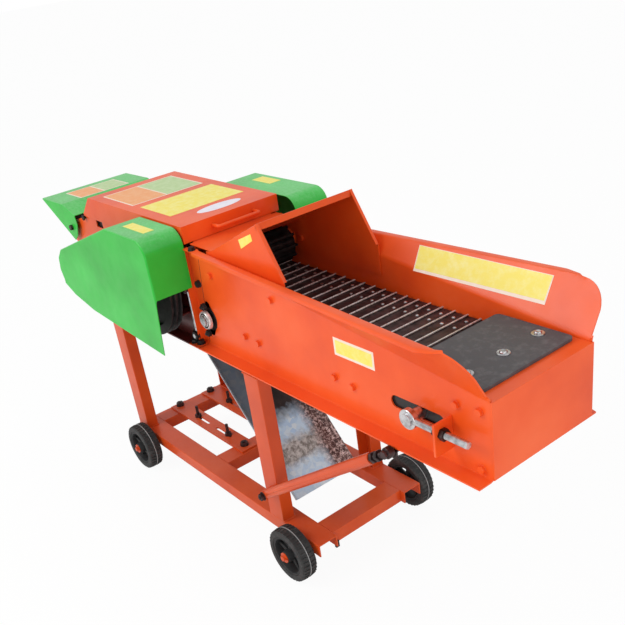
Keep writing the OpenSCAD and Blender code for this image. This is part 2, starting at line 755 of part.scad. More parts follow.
module slats() paint(dark) for (k = [0:slat_n - 1]) on_loop((k + 0.5) * slat_p) {
  translate([-slat_w / 2, -in_h + 9, band_h]) cube([slat_w, 2 * in_h - 18, 3]);
  translate([-slat_w / 2, -in_h + 9, band_h + 3]) cube([3, 2 * in_h - 18, 5]);
}

module slat_rivets() paint(steel) for (k = [0:slat_n - 1]) on_loop((k + 0.5) * slat_p) {
  for (s = [-1, 1]) for (t = [-1, 1]) translate([4, s * chain_gap / 2 + t * 19, band_h + 3]) {
    cylinder(r1 = 5, r2 = 3.5, h = 2.5);
  }
}

pad_x0 = trough_end - 226;
module rubber_pad() paint(dark) difference() {
  box(pad_x0, trough_end - 31, -in_h + 9, in_h - 9, deck_z, deck_z + 8);
  for (y = [-105, 0, 105]) translate([trough_end - 95, y, deck_z - 1]) cylinder(r = 5.5, h = 20);
}

module pad_bolts() paint(steel) for (y = [-105, 0, 105]) {
  translate([trough_end - 95, y, deck_z - 13]) cylinder(r = 5, h = 26);
  translate([trough_end - 95, y, deck_z + 8]) cylinder(r = 14, h = 2);
  translate([trough_end - 95, y, deck_z + 10]) cylinder(r1 = 8, r2 = 5, h = 4);
  translate([trough_end - 95, y, deck_z - 11]) cylinder(r = 9, h = 8, $fn = 6);
}

pulley_r = 145;
pulley_y = -body_h - lip_w - 4;
module rotor_shaft() paint(steel) {
  ycyl(rotor_x, rotor_z, shaft_d / 2, pulley_y - 50, body_h + 50);
  gear_teeth(rotor_x, rotor_z, pinion_n, 0, body_h + 21, 22, 0);
}

module rotor() paint(dark) for (y = [-108, -4, 100]) difference() {
  ycyl(rotor_x, rotor_z, 92, y, y + 8);
  ycyl(rotor_x, rotor_z, shaft_d / 2 + fix_gap, y - 1, y + 9);
}

module knives() paint(steel) for (k = [0:3]) rotate_about(rotor_x, rotor_z, 20 + 90 * k) {
  for (y = [-100, 4]) box(rotor_x + 30, rotor_x + 86, y + eps, y + 96 - eps, rotor_z - 5, rotor_z + 5);
  box(rotor_x + 92.5, rotor_x + rotor_r, -in_h + 6, in_h - 6, rotor_z - 4, rotor_z + 4);
  for (y = [-100, 4]) box(rotor_x + 86, rotor_x + 92.5, y + 0.3, y + 95.7, rotor_z - 4, rotor_z + 4);
}

module main_pulley() paint(dark) translate([rotor_x, pulley_y, rotor_z]) rotate([90, 0, 0]) rotate_extrude() {
  polygon([[shaft_d / 2 + fix_gap, 0], [32, 0], [32, 12], [pulley_r - 26, 12], [pulley_r - 26, 0],
    [pulley_r, 0], [pulley_r, 3], [pulley_r - 11, 6], [pulley_r - 11, 12], [pulley_r, 15],
    [pulley_r, 19], [pulley_r - 11, 22], [pulley_r - 11, 28], [pulley_r, 31], [pulley_r, 34],
    [pulley_r - 26, 34], [pulley_r - 26, 22], [32, 22], [32, 46], [shaft_d / 2 + fix_gap, 46]]);
}

// Involute tooth flank points, from the base circle to the tip
function flank(rb, ro, n) = [for (k = [0:n]) let (t = sqrt(pow(ro / rb, 2) - 1) * k / n * 180 / PI)
  [rb * (cos(t) + t * PI / 180 * sin(t)), rb * (sin(t) - t * PI / 180 * cos(t))]];
function turn(p, a) = [p[0] * cos(a) - p[1] * sin(a), p[0] * sin(a) + p[1] * cos(a)];

// Spur gear with its first tooth at the angle a0, thinned for backlash
module gear_teeth(x, z, n, a0, y0, w, bore) {
  r = gear_m * n / 2;
  rb = r * cos(20);
  ro = r + gear_m * 0.9;
  rr = r - gear_m * 1.2;
  inv = (tan(20) - 20 * PI / 180) * 180 / PI;
  half = 90 / n - 0.12 * 180 / PI / r;
  f = flank(rb, ro, 4);
  translate([x, y0 + w, z]) rotate([90, 0, 0]) difference() {
    linear_extrude(w) polygon([for (k = [0:n - 1]) each concat(
      [turn([min(rr, rb - 0.1), 0], a0 + 360 * k / n - half - inv - 0.6)],
      [for (p = f) turn(p, a0 + 360 * k / n - half - inv)],
      [for (i = [4:-1:0]) turn([f[i][0], -f[i][1]], a0 + 360 * k / n + half + inv)],
      [turn([min(rr, rb - 0.1), 0], a0 + 360 * k / n + half + inv + 0.6)])]);
    if (bore > 0) translate([0, 0, -1]) cylinder(r = bore, h = w + 2);
  }
}

// Gear and small sprocket that turn together on the stub of the far side plate
module counter_gear() paint(steel) {
  a0 = gear_dir + 180 + (180 + pinion_n * gear_dir) / gear_n;
  gear_teeth(gear_x, gear_z, gear_n, a0, body_h + 22, 20, 11 + run_gap);
  hub_ring(gear_x, gear_z, body_h + 42, body_h + 60, 20, 11 + run_gap);
  sprocket(gear_x, gear_z, body_h + 52, drive_r - 7, 14, 8, 15);
}

module drive_chain() paint(dark) translate([gear_x, body_h + 52, gear_z]) rotate([0, -drive_a, 0]) {
  n = round((2 * drive_d + 2 * PI * drive_r) / (2 * PI * drive_r / 14));
  for (t = [-1, 1]) slab(t * 7 - 1, 2) difference() {
    stadium(0, drive_d, 0, drive_r + 6);
    stadium(0, drive_d, 0, drive_r - 6);
  }
  for (k = [0:n - 1]) on_belt((k + 0.5) * (2 * drive_d + 2 * PI * drive_r) / n, drive_d, drive_r) {
    translate([0, -6.2, 0]) rotate([-90, 0, 0]) cylinder(r = 5, h = 12.4);
  }
}

module upper_roller() paint(dark) {
  ycyl(roller_x, roller_z, 12.5, -in_h + 8, in_h - 8);
  difference() {
    ycyl(roller_x, roller_z, 40, -in_h + 26, in_h - 26);
    ycyl(roller_x, roller_z, 12.5 + fix_gap, -in_h, in_h);
  }
  for (k = [0:9]) rotate_about(roller_x, roller_z, 36 * k) {
    box(roller_x + 38, roller_x + 50, -in_h + 26, in_h - 26, roller_z - 3, roller_z + 3);
  }
}

module roller_arms() paint(orange) both() difference() {
  union() {
    slab(-in_h + 9, 8) polygon([[arm_x, arm_z - 14], [arm_x, arm_z + 4], [roller_x + 20, roller_z + 24],
      [roller_x + 20, roller_z - 16], [roller_x - 16, roller_z - 16]]);
    ycyl(arm_x, arm_z, 12, -in_h + 9, -in_h + 17);
  }
  ycyl(roller_x, roller_z, 12.5 + run_gap, -in_h, 0);
  ycyl(arm_x, arm_z, 6 + run_gap, -in_h, 0);
}

// Arm pivots, along with the near rod that presses the upper roller down
module press_rods() paint(steel) {
  both() ycyl(arm_x, arm_z, 6, -in_h, -in_h + 17);
  y = -body_h - 12;
  rod_x = trough_x0 - 8;
  rod_z = floor_z + 24;
  rod_h = 131;
  rod_lean = 6;
  for (q = [[rod_x - rod_lean, rod_z + rod_h], [rod_x, rod_z]]) {
    ycyl(q[0], q[1], 6.5, y - 6, -body_h);
    yhex(q[0], q[1], 12, y - 13, y - 6);
  }
  translate([rod_x, y, rod_z]) rotate([0, -atan2(rod_lean, rod_h), 0]) cylinder(r = 5, h = rod_h);
}

module body_bolts() paint(orange) {
  for (q = [[647, 218], [906, 213], [762, 78], [820, 76], [1114, 78], [1174, 73], [1478, 140],
    [1536, 145], [1537, 20]]) both() {
    ycyl(q[0], floor_z + q[1], 9, -body_h - 2, -body_h);
    yhex(q[0], floor_z + q[1], 15, -body_h - 8, -body_h - 2);
  }
}

base_rails();
cross_channels();
rear_legs();
front_legs();
top_channels();
axles();
tyre_nf();
tyre_nr();
tyre_ff();
tyre_fr();
wheel_nf();
wheel_nr();
wheel_ff();
wheel_fr();
motor_bars();
motor_bolts();
trough_near();
trough_far();
slide_bed();
end_deck();
feed_hood();
chamber_near();
chamber_far();
concave();
chamber_front();
shear_bar();
lid();
lid_handle();
hinge_pins();
rear_hood();
hood_pivots();
belt_guard();
gear_guard();
chute();
stay_tube();
stay_screw();
takeup_brackets();
takeup_nuts();
takeup_screws();
tail_shaft();
tail_sprockets();
head_shaft();
head_sprockets();
flange_bearings();
chains();
slats();
slat_rivets();
rubber_pad();
pad_bolts();
rotor_shaft();
rotor();
knives();
main_pulley();
counter_gear();
drive_chain();
upper_roller();
roller_arms();
press_rods();
body_bolts();
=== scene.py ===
import json
from math import atan2, copysign, cos, degrees, pi, radians, sin, sqrt, tau
import bpy
from mathutils import Matrix, Vector


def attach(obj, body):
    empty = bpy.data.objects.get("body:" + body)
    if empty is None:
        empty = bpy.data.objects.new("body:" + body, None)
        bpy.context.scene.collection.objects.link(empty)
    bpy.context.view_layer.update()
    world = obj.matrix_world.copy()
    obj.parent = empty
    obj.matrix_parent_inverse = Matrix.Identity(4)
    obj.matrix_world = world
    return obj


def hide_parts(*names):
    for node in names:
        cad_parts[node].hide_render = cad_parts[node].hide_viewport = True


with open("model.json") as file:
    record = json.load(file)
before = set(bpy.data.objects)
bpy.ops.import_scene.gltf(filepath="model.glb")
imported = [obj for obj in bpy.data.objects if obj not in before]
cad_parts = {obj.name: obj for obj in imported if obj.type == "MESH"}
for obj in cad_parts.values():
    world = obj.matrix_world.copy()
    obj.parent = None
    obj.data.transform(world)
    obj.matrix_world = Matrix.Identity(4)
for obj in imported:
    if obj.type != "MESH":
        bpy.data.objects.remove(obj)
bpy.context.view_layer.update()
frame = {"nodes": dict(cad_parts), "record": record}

cad = frame["nodes"]
mm = 0.001
moveBy, turnBy = Matrix.Translation, Matrix.Rotation
middle = 592.5  # from the rear end of the base rails to the middle of the machine, in millimetres
slotOf = {part["node"]: part["material_slot"] for part in frame["record"]["subparts"]}
bodyOf = {node: body for body, members in frame["record"]["behaviour"]["bodies"].items() for node in members}

# Camera, matched to the photograph
camera = {
    "place": (1.8452, -1.1313, 1.5210),
    "right": (0.61634, 0.77523, -0.13830),
    "up": (-0.30142, 0.39451, 0.86803),
    "back": (0.72750, -0.49332, 0.47683),
    "lens": 48.35,
    "shift": (0.0109, 0.1254),
}


def addCamera():
    bpy.ops.object.camera_add(location=camera["place"])
    view = bpy.context.object
    turn = Matrix((camera["right"], camera["up"], camera["back"])).transposed()
    view.rotation_euler = turn.to_euler()
    view.data.lens = camera["lens"]
    view.data.sensor_width = 36
    view.data.shift_x, view.data.shift_y = camera["shift"]
    bpy.context.scene.camera = view


# Light: a white room with three large soft lamps, each a place, a size and a power
light = {
    "room": 0.74,
    "lamps": [((-0.9, -2.6, 2.6), 1.5, 42), ((3.2, 0.4, 2.8), 2.0, 15), ((3.0, -2.0, 0.6), 1.6, 17)],
    "aim": (0, 0, 0.6),
    "floorTone": "#F4F4F4", "floorGlow": 0.94,
}


def addLamp(place, size, power):
    bpy.ops.object.light_add(type="AREA", location=place)
    lamp = bpy.context.object
    lamp.data.size = size
    lamp.data.energy = power
    lamp.rotation_euler = (Vector(light["aim"]) - Vector(place)).to_track_quat("-Z", "Y").to_euler()


def linear(hexColour):
    parts = [int(hexColour[i:i + 2], 16) / 255 for i in (1, 3, 5)]
    return tuple(p / 12.92 if p <= 0.04045 else ((p + 0.055) / 1.055) ** 2.4 for p in parts) + (1,)


def addNode(tree, kind, settings=None, links=None):
    # settings are sockets, properties or a ramp's stops. A link from a node is from its first socket
    node = tree.nodes.new("ShaderNode" + kind)
    for key, value in (settings or {}).items():
        if key == "stops":
            while len(node.color_ramp.elements) < len(value):
                node.color_ramp.elements.new(0.5)
            for element, (position, tone) in zip(node.color_ramp.elements, value):
                element.position = position
                element.color = linear(tone) if isinstance(tone, str) else (tone, tone, tone, 1)
        elif isinstance(key, int) or key in node.inputs:
            node.inputs[key].default_value = linear(value) if isinstance(value, str) else value
        else:
            setattr(node, key, value)
    for key, source in (links or {}).items():
        if isinstance(source, bpy.types.Node):
            source = source.outputs[0]
        tree.links.new(source, node.inputs[key])
    return node


def emptyTree(owner):
    owner.use_nodes = True
    owner.node_tree.nodes.clear()
    return owner.node_tree


def setWorld():
    world = bpy.data.worlds.new("studio")
    bpy.context.scene.world = world
    tree = emptyTree(world)
    path = addNode(tree, "LightPath")
    strength = addNode(tree, "MapRange", {"To Min": light["room"], "To Max": 1.0},
                       {"Value": path.outputs["Is Camera Ray"]})
    room = addNode(tree, "Background", {"Color": (1, 1, 1, 1)}, {"Strength": strength})
    addNode(tree, "OutputWorld", None, {"Surface": room})


def addFloor():
    # pale floor that is white to the camera and keeps a soft shadow
    bpy.ops.mesh.primitive_plane_add(size=90, location=(0, 0, -0.0005))
    floor = bpy.context.object
    floor.name = "floor"
    surface = bpy.data.materials.new("pale floor")
    tree = emptyTree(surface)
    path = addNode(tree, "LightPath")
    paint = addNode(tree, "BsdfDiffuse", {"Color": light["floorTone"]})
    glow = addNode(tree, "Emission", {"Color": (1, 1, 1, 1), "Strength": 1.0})
    mixed = addNode(tree, "MixShader", {0: light["floorGlow"]}, {1: paint, 2: glow})
    chosen = addNode(tree, "MixShader", None, {0: path.outputs["Is Camera Ray"], 1: paint, 2: mixed})
    addNode(tree, "OutputMaterial", None, {"Surface": chosen})
    floor.data.materials.append(surface)


bpy.context.scene.view_settings.view_transform = "Standard"
addCamera()
setWorld()
addFloor()
for place, size, power in light["lamps"]:
    addLamp(place, size, power)
print("camera, light and floor done")


# Materials, all on Object coordinates. Widths and depths of patterns are in millimetres
def newMaterial(name):
    surface = bpy.data.materials.new(name)
    tree = emptyTree(surface)
    return surface, tree, addNode(tree, "TexCoord").outputs["Object"]


def finishMaterial(tree, settings, links):
    body = addNode(tree, "BsdfPrincipled", settings, links)
    addNode(tree, "OutputMaterial", None, {"Surface": body})


def sized(width, detail=3.0, rough=0.5):
    # settings of a noise whose patches are as wide as given
    return {"Scale": 1 / (width * mm), "Detail": detail, "Roughness": rough}


def patchy(tree, place, width, stops, detail=3.0, rough=0.5):
    # tones or amounts that change over patches of a width
    patches = addNode(tree, "TexNoise", sized(width, detail, rough), {"Vector": place})
    return addNode(tree, "ValToRGB", {"stops": stops}, {"Fac": patches})


def unevenGloss(tree, place, width, low, high, detail=3.0):
    patches = addNode(tree, "TexNoise", sized(width, detail), {"Vector": place})
    return addNode(tree, "MapRange", {"To Min": low, "To Max": high}, {"Value": patches})


def relief(tree, place, width, strength, depth, detail=3.0):
    # small hills of a width and a depth
    hills = addNode(tree, "TexNoise", sized(width, detail), {"Vector": place})
    return addNode(tree, "Bump", {"Strength": strength, "Distance": depth * mm}, {"Height": hills})


def layered(tree, colour, *layers):
    # colours laid over the first one, each by its own amount
    for amount, over in layers:
        settings, links = {"data_type": "RGBA"}, {0: amount, 6: colour}
        (settings if isinstance(over, str) else links)[7] = over
        colour = addNode(tree, "Mix", settings, links).outputs[2]
    return colour


def stainAmount(tree, *bands):
    # a band has a value, where it starts and ends, and its strengths there. Bands multiply
    amount = None
    for value, low, high, first, last in bands:
        ends = {"From Min": low, "From Max": high, "To Min": first, "To Max": last}
        band = addNode(tree, "MapRange", ends, {"Value": value})
        if amount is not None:
            band = addNode(tree, "Math", {"operation": "MULTIPLY"}, {0: amount, 1: band})
        amount = band
    return amount


def sprayedEnamel(name, tone, lighter, darker, dustAndSheen, film=0.05, rough=0.34, shadedUnderGuard=False):
    # alkyd enamel sprayed on bare steel: uneven tone, orange peel, and on what faces up a paler film that is
    # partly dust and partly a painted sheen of the sky
    surface, tree, place = newMaterial(name)
    patches = patchy(tree, place, 170, [(0.3, darker), (0.52, tone), (0.75, lighter)], 4)
    facing = addNode(tree, "SeparateXYZ", None, {0: addNode(tree, "NewGeometry").outputs["Normal"]})
    # faces that look up get the paler film: dust, and a painted highlight of the sky on the tops
    upward = stainAmount(tree, (facing.outputs["Z"], 0.3, 1.0, 0, film))
    spots = patchy(tree, place, 9, [(0.35, 0.35), (0.75, 1.0)], 5, 0.65)
    layers = [(addNode(tree, "Math", {"operation": "MULTIPLY"}, {0: upward, 1: spots}), dustAndSheen)]
    if shadedUnderGuard:
        # painted shadow of the side guard, near the main pulley: dark maroon forward of 263 to 373 mm and
        # below 780 to 840 mm, where the guard shades the body
        axes = addNode(tree, "SeparateXYZ", None, {0: place})
        guardShadow = stainAmount(tree, (axes.outputs["X"], -0.33, -0.22, 0, 1),
                             (axes.outputs["Z"], 0.78, 0.84, 1, 0))
        layers.append((guardShadow, patchy(tree, place, 60, [(0.35, "#3E1614"), (0.65, "#6A2420")], 4)))
    finishMaterial(tree, {"IOR": 1.45, "Specular IOR Level": 0.28, "Coat Weight": 0.22,
                          "Coat Roughness": 0.18},
                   {"Base Color": layered(tree, patches, *layers),
                    "Roughness": unevenGloss(tree, place, 40, rough - 0.07, rough + 0.13),
                    "Normal": relief(tree, place, 2.6, 0.22, 0.25, 2)})
    return surface


def scuffed(name, tone, worn, width):
    # vulcanised rubber or moulded plastic: dull, with scuffs of pale dust and a grain of a width
    surface, tree, place = newMaterial(name)
    finishMaterial(tree, {"Roughness": 0.62, "IOR": 1.5},
                   {"Base Color": patchy(tree, place, 24, [(0.48, tone), (0.8, worn)], 6, 0.7),
                    "Normal": relief(tree, place, width, 0.4, 0.3)})
    return surface


def metal(name, tone, darker, rough, metallic=1.0, width=5):
    # steel or iron, cast, turned, oiled or plated: soft streaks and darker handling marks
    surface, tree, place = newMaterial(name)
    finishMaterial(tree, {"Metallic": metallic},
                   {"Base Color": patchy(tree, place, 16, [(0.35, darker), (0.6, tone)], 5, 0.6),
                    "Roughness": unevenGloss(tree, place, 8, rough - 0.08, rough + 0.15, 4),
                    "Normal": relief(tree, place, width, 0.12, 0.15, 4)})
    return surface


def stainedZincWithPaintedLight(name):
    # hot-dip galvanised chute, crystals 14 mm wide, bluish white as a painted sky reflection; painted shade,
    # near black, over its upper end under the body; grey grime, rusty specks along its far side, plain grey
    # along both edges. Places are in metres
    surface, tree, place = newMaterial(name)
    axes = addNode(tree, "SeparateXYZ", None, {0: place})
    patches = addNode(tree, "TexNoise", sized(34, 5, 0.65), {"Vector": place})
    uneven = addNode(tree, "Math", {"operation": "MULTIPLY_ADD", 1: 0.05, 2: -0.025}, {0: patches})
    along, across = (addNode(tree, "Math", {"operation": "ADD"}, {0: axes.outputs[axis], 1: uneven})
                     for axis in "XY")
    crystals = addNode(tree, "TexVoronoi", {"Scale": 1 / (14 * mm)}, {"Vector": place})
    # the crystals' bluish white is a painted reflection of the sky
    skyTintedCrystals = addNode(tree, "ValToRGB", {"stops": [(0.1, "#BCDDFA"), (0.5, "#CDE9FF"), (0.9, "#E2F4FF")]},
                    {"Fac": crystals.outputs["Color"]})
    grime = patchy(tree, place, 12, [(0.4, "#827C76"), (0.6, "#D0CCC8")], 5, 0.7)
    rust = patchy(tree, place, 9, [(0.42, "#3A2423"), (0.5, "#7A5650"), (0.6, "#E6CCC6")], 5, 0.8)
    # painted shade, near black, over the upper end of the chute, which lies under the body
    upperShade = addNode(tree, "ValToRGB", {"stops": [(0.4, "#1E1817"), (0.7, "#3A2C2A")]}, {"Fac": patches})
    colour = layered(
        tree, skyTintedCrystals,
        (stainAmount(tree, (along, 0.075, 0.1, 0, 1), (along, 0.125, 0.15, 1, 0.15)), grime),
        (stainAmount(tree, (across, 0.04, 0.075, 0, 1)), rust),
        (stainAmount(tree, (along, 0.02, 0.055, 1, 0), (across, -0.06, 0.0, 0.75, 1)), upperShade),
        (stainAmount(tree, (axes.outputs["Y"], 0.116, 0.124, 0, 0.85)), "#B4BEBE"),
        (stainAmount(tree, (axes.outputs["Y"], -0.11, -0.102, 0.8, 0)), "#C4CCD2"))
    gloss = addNode(tree, "ValToRGB", {"stops": [(0.2, 0.3), (0.8, 0.5)]}, {"Fac": patches})
    finishMaterial(tree, {"Metallic": 0.0},
                   {"Base Color": colour, "Roughness": gloss, "Normal": relief(tree, place, 30, 0.2, 0.5)})
    return surface


def vinyl(name, tone, faded):
    # blank vinyl sticker: smooth, a little faded and scuffed
    surface, tree, place = newMaterial(name)
    wear = patchy(tree, place, 22, [(0.42, tone), (0.75, faded)], 6, 0.7)
    finishMaterial(tree, {"Roughness": 0.4, "IOR": 1.48}, {"Base Color": wear})
    return surface


orangeTones = ("#EE571B", "#F46229", "#E24C16", "#E89880")
orange = sprayedEnamel("orange sprayed enamel", *orangeTones)
green = sprayedEnamel("green sprayed enamel", "#2AB83A", "#38C448", "#22A630", "#B4ECBC", 0.34)
guardShadedEnamel = sprayedEnamel("orange enamel with painted shade under the guard", *orangeTones, shadedUnderGuard=True)
# a darker copy of the orange: painted shade for the frame, legs, axles, welds and stay under the body
shadedFrameEnamel = sprayedEnamel("darker orange enamel, painted shade under the body", "#D44C18", "#DC5824", "#C84414", "#C89080", 0.1)
blackEnamel = sprayedEnamel("black enamel", "#232323", "#2E2C2C", "#181818", "#4A4644", 0.05, 0.4)
tyreRubber = scuffed("moulded tyre rubber", "#262626", "#4A4846", 3)
padRubber = scuffed("rubber sheet", "#4C4B4E", "#6A686A", 1.6)
wheelPlastic = scuffed("black moulded plastic", "#1C1C1D", "#343434", 4)
paleLine = scuffed("pale mould line", "#9A9A9A", "#B4B4B4", 3)
steel = metal("zinc plated steel", "#D8D8DA", "#A2A2A4", 0.28)
darkSteel = metal("oiled dark steel", "#564646", "#302626", 0.42, 0.85)
castIron = metal("cast iron", "#3C3A3A", "#242222", 0.55, 0.7, 2)
polished = metal("steel polished by wear", "#E6DEDC", "#C0B6B2", 0.25, 0.5)
chuteZinc = stainedZincWithPaintedLight("galvanised sheet stained by use")
yellowVinyl = vinyl("yellow vinyl", "#F3E25A", "#F7EE9A")
whiteVinyl = vinyl("white vinyl", "#E6E2EE", "#F4F2F6")
tanVinyl = vinyl("tan vinyl", "#F0A060", "#F2B884")
paleGreenVinyl = vinyl("pale green vinyl", "#B4CF90", "#C8DCAC")
creamVinyl = vinyl("cream vinyl", "#F3DFCB", "#F6E8DA")
finishes = {
    "orange_paint": orange, "green_paint": green, "black_paint": blackEnamel, "bare_steel": steel,
    "galvanised_steel": chuteZinc, "dark_steel": darkSteel, "dark_cast_iron": castIron,
    "tyre_rubber": tyreRubber, "wheel_plastic": wheelPlastic, "rubber_sheet": padRubber,
}
for name, node in cad.items():
    node.data.materials.clear()
    node.data.materials.append(finishes[slotOf[name]])
print("materials done")


# Ways of making a piece. Places are in millimetres: x from the rear end of the base rails, z over the floor
def spot(x, y, z):
    return Vector(((x - middle) * mm, y * mm, z * mm))


def selectOnly(*objects):
    bpy.ops.object.select_all(action="DESELECT")
    for each in objects:
        each.select_set(True)
    bpy.context.view_layer.objects.active = objects[-1]


def setMode(mode):
    bpy.ops.object.mode_set(mode=mode)


def applyModifier(piece, kind, **settings):
    selectOnly(piece)
    modifier = piece.modifiers.new(kind, kind)
    for key, value in settings.items():
        setattr(modifier, key, value)
    bpy.ops.object.modifier_apply(modifier=modifier.name)


def smoothen(piece, angle=32):
    selectOnly(piece)
    bpy.ops.object.shade_smooth_by_angle(angle=radians(angle))
    applyModifier(piece, "WEIGHTED_NORMAL", keep_sharp=True)


def blunt(piece, width, segments=2, angle=32):
    # rounds the sharp edges as a file, a press or paint leaves them
    applyModifier(piece, "BEVEL", width=width * mm, segments=segments, limit_method="ANGLE",
                  angle_limit=radians(angle))
    smoothen(piece)


def joined(parts):
    selectOnly(*parts)
    bpy.ops.object.join()
    return bpy.context.object


def discard(*pieces):
    for each in pieces:
        bpy.data.objects.remove(each)


def cloned(piece, turn=None):
    # a copy with its own mesh, moved by the matrix if there is one
    other = piece.copy()
    other.data = piece.data.copy()
    bpy.context.collection.objects.link(other)
    if turn is not None:
        other.data.transform(turn)
    return other


def shifted(piece, x, y, z):
    piece.data.transform(moveBy((x * mm, y * mm, z * mm)))
    return piece


def turnTo(direction):
    # the turn that brings a piece made along Z to a direction
    return Vector(direction).to_track_quat("Z", "X").to_matrix().to_4x4()


def put(piece, place, direction=(0, 0, 1)):
    piece.data.transform(moveBy(spot(*place)) @ turnTo(direction))
    return piece


def facing(piece, x, z, side, face, upright=0.0):
    # lays a piece made along Z against a side wall, its own X turned up by the angle
    spin = turnBy(radians(upright), 4, "Z")
    piece.data.transform(moveBy(spot(x, side * face, z)) @ turnTo((0, side, 0)) @ spin)
    return piece


def fit(piece, name, nodes=(), body="", slot="", finish=None):
    # names a finished piece, and gives it its finish, the nodes it stands for and the body it moves with
    piece.name = name
    if not piece.data.materials or finish or slot or nodes:
        piece.data.materials.clear()
        piece.data.materials.append(finish or finishes[slot or slotOf[nodes[0]]])
    if nodes:
        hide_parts(*nodes)
    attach(piece, body or bodyOf[nodes[0]])
    return piece


def camel(name):
    words = name.split("_")
    return words[0] + "".join(word.title() for word in words[1:])


def editAll():
    setMode("EDIT")
    bpy.ops.mesh.select_all(action="SELECT")


def softened(nodeName, width=1.2, segments=2):
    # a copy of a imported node, merged, with its edges blunted
    piece = cloned(cad[nodeName])
    for key in list(piece.keys()):
        del piece[key]
    piece.parent = None
    selectOnly(piece)
    editAll()
    bpy.ops.mesh.remove_doubles(threshold=0.005 * mm)
    bpy.ops.mesh.dissolve_limited(angle_limit=radians(0.8))
    setMode("OBJECT")
    blunt(piece, width, segments)
    return piece


def block(x0, x1, y0, y1, z0, z1, width=0.0, segments=2):
    bpy.ops.mesh.primitive_cube_add(size=1)
    piece = bpy.context.object
    low, high = spot(x0, y0, z0), spot(x1, y1, z1)
    for vertex in piece.data.vertices:
        vertex.co = [high[i] if vertex.co[i] > 0 else low[i] for i in range(3)]
    if width:
        blunt(piece, width, segments)
    return piece


def flatPiece(points, fill):
    # a ring through the points, in metres, open or filled
    bpy.ops.mesh.primitive_circle_add(vertices=len(points), fill_type=fill)
    piece = bpy.context.object
    for vertex, point in zip(piece.data.vertices, points):
        vertex.co = point
    return piece


def merge(piece, distance, outward=None):
    # joins points that meet, turns the faces outward, and has the widest one look to the outward side
    editAll()
    bpy.ops.mesh.remove_doubles(threshold=distance * mm)
    bpy.ops.mesh.normals_make_consistent(inside=False)
    setMode("OBJECT")
    if outward and max(piece.data.polygons, key=lambda face: face.area).normal.dot(Vector(outward)) < 0:
        piece.data.flip_normals()


def turned(profile, steps=48):
    # turned on a lathe about Z: a closed outline of (radius, height) spun all the way round
    piece = flatPiece([(radius * mm, 0, height * mm) for radius, height in profile], "NOTHING")
    editAll()
    bpy.ops.mesh.spin(steps=steps, angle=tau, center=(0, 0, 0), axis=(0, 0, 1))
    merge(piece, 0.01)
    smoothen(piece, 40)
    return piece


def evenProfile(points):
    # an outline for the lathe that is the same on both sides of its middle
    return points + [(radius, -height) for radius, height in reversed(points)]


def extruded(section, y0, y1, width=0.0):
    # a flat outline of (x, z) drawn along Y, in millimetres from the origin
    piece = flatPiece([(x * mm, y0 * mm, z * mm) for x, z in section], "NGON")
    editAll()
    bpy.ops.mesh.extrude_region_move(TRANSFORM_OT_translate={"value": (0, (y1 - y0) * mm, 0)})
    editAll()
    bpy.ops.mesh.normals_make_consistent(inside=False)
    setMode("OBJECT")
    if width:
        blunt(piece, width, 1)
    return piece


def threadOutline(radius, low, high, pitch=2.0):
    # outline of a threaded rod: ridges a pitch apart, and a chamfered end
    points = [(0.1, low)]
    height = low
    while height < high - pitch:
        points += [(radius, height + 0.2 * pitch), (radius - 0.32 * pitch, height + 0.8 * pitch)]
        height += pitch
    return points + [(radius - 1, high), (0.1, high)]


def hexHead(across, height, washer=0.0, stud=0.0, studTop=0.0):
    # hexagon nut or bolt head standing on z = 0, with a washer under it and a stud through it
    lift = 2 if washer else 0
    bpy.ops.mesh.primitive_cylinder_add(vertices=6, radius=across / 2 / cos(radians(30)) * mm,
                                        depth=height * mm)
    head = shifted(bpy.context.object, 0, 0, lift + height / 2)
    blunt(head, across * 0.05, 2)
    parts = [head]
    if washer:
        parts.append(turned([(0.1, 0), (washer, 0), (washer, 1.6), (washer - 0.4, 2), (0.1, 2)], 24))
    if stud:
        parts.append(turned(threadOutline(stud, lift + height - 1, studTop), 20))
    return joined(parts)


def pickEdges(piece, test):
    # opens edit mode with the edges that pass the test selected
    selectOnly(piece)
    setMode("EDIT")
    bpy.ops.mesh.select_mode(type="EDGE")
    bpy.ops.mesh.select_all(action="DESELECT")
    setMode("OBJECT")
    for edge in piece.data.edges:
        edge.select = test(edge)
    setMode("EDIT")


def giveWall(sheet, thick, rim):
    # thickness inward from the outer faces, and blunt rims
    applyModifier(sheet, "SOLIDIFY", thickness=thick * mm, offset=-1, use_even_offset=True)
    applyModifier(sheet, "BEVEL", width=rim * mm, segments=1, limit_method="ANGLE",
                  angle_limit=radians(50))
    smoothen(sheet)
    return sheet


def foldSheet(faces, thick, outward, fold=3.0, rim=0.5, least=14):
    # sheet metal: flat faces that share edges, folded with a radius where they meet at an angle
    sheet = joined([flatPiece([spot(*corner) for corner in corners], "NGON") for corners in faces])
    merge(sheet, 0.2, outward)
    normals = {}
    for face in sheet.data.polygons:
        for key in face.edge_keys:
            normals.setdefault(key, []).append(face.normal.copy())
    bent = {key for key, pair in normals.items()
            if len(pair) == 2 and pair[0].angle(pair[1]) > radians(least)}
    pickEdges(sheet, lambda edge: edge.key in bent)
    if bent:
        bpy.ops.mesh.bevel(offset=fold * mm, segments=3, affect="EDGES")
    setMode("OBJECT")
    return giveWall(sheet, thick, rim)


def gridSheet(rows, thick, outward, rim=0.6):
    # sheet metal through rows of points, merged where they meet
    count, width = len(rows), len(rows[0])
    bpy.ops.mesh.primitive_grid_add(x_subdivisions=width - 1, y_subdivisions=count - 1)
    sheet = bpy.context.object
    for index, vertex in enumerate(sheet.data.vertices):
        vertex.co = spot(*rows[index // width][index % width])
    merge(sheet, 0.3, outward)
    return giveWall(sheet, thick, rim)


def cut(piece, *cutters):
    for cutter in cutters:
        applyModifier(piece, "BOOLEAN", operation="DIFFERENCE", object=cutter, solver="EXACT")
        discard(cutter)
    smoothen(piece)


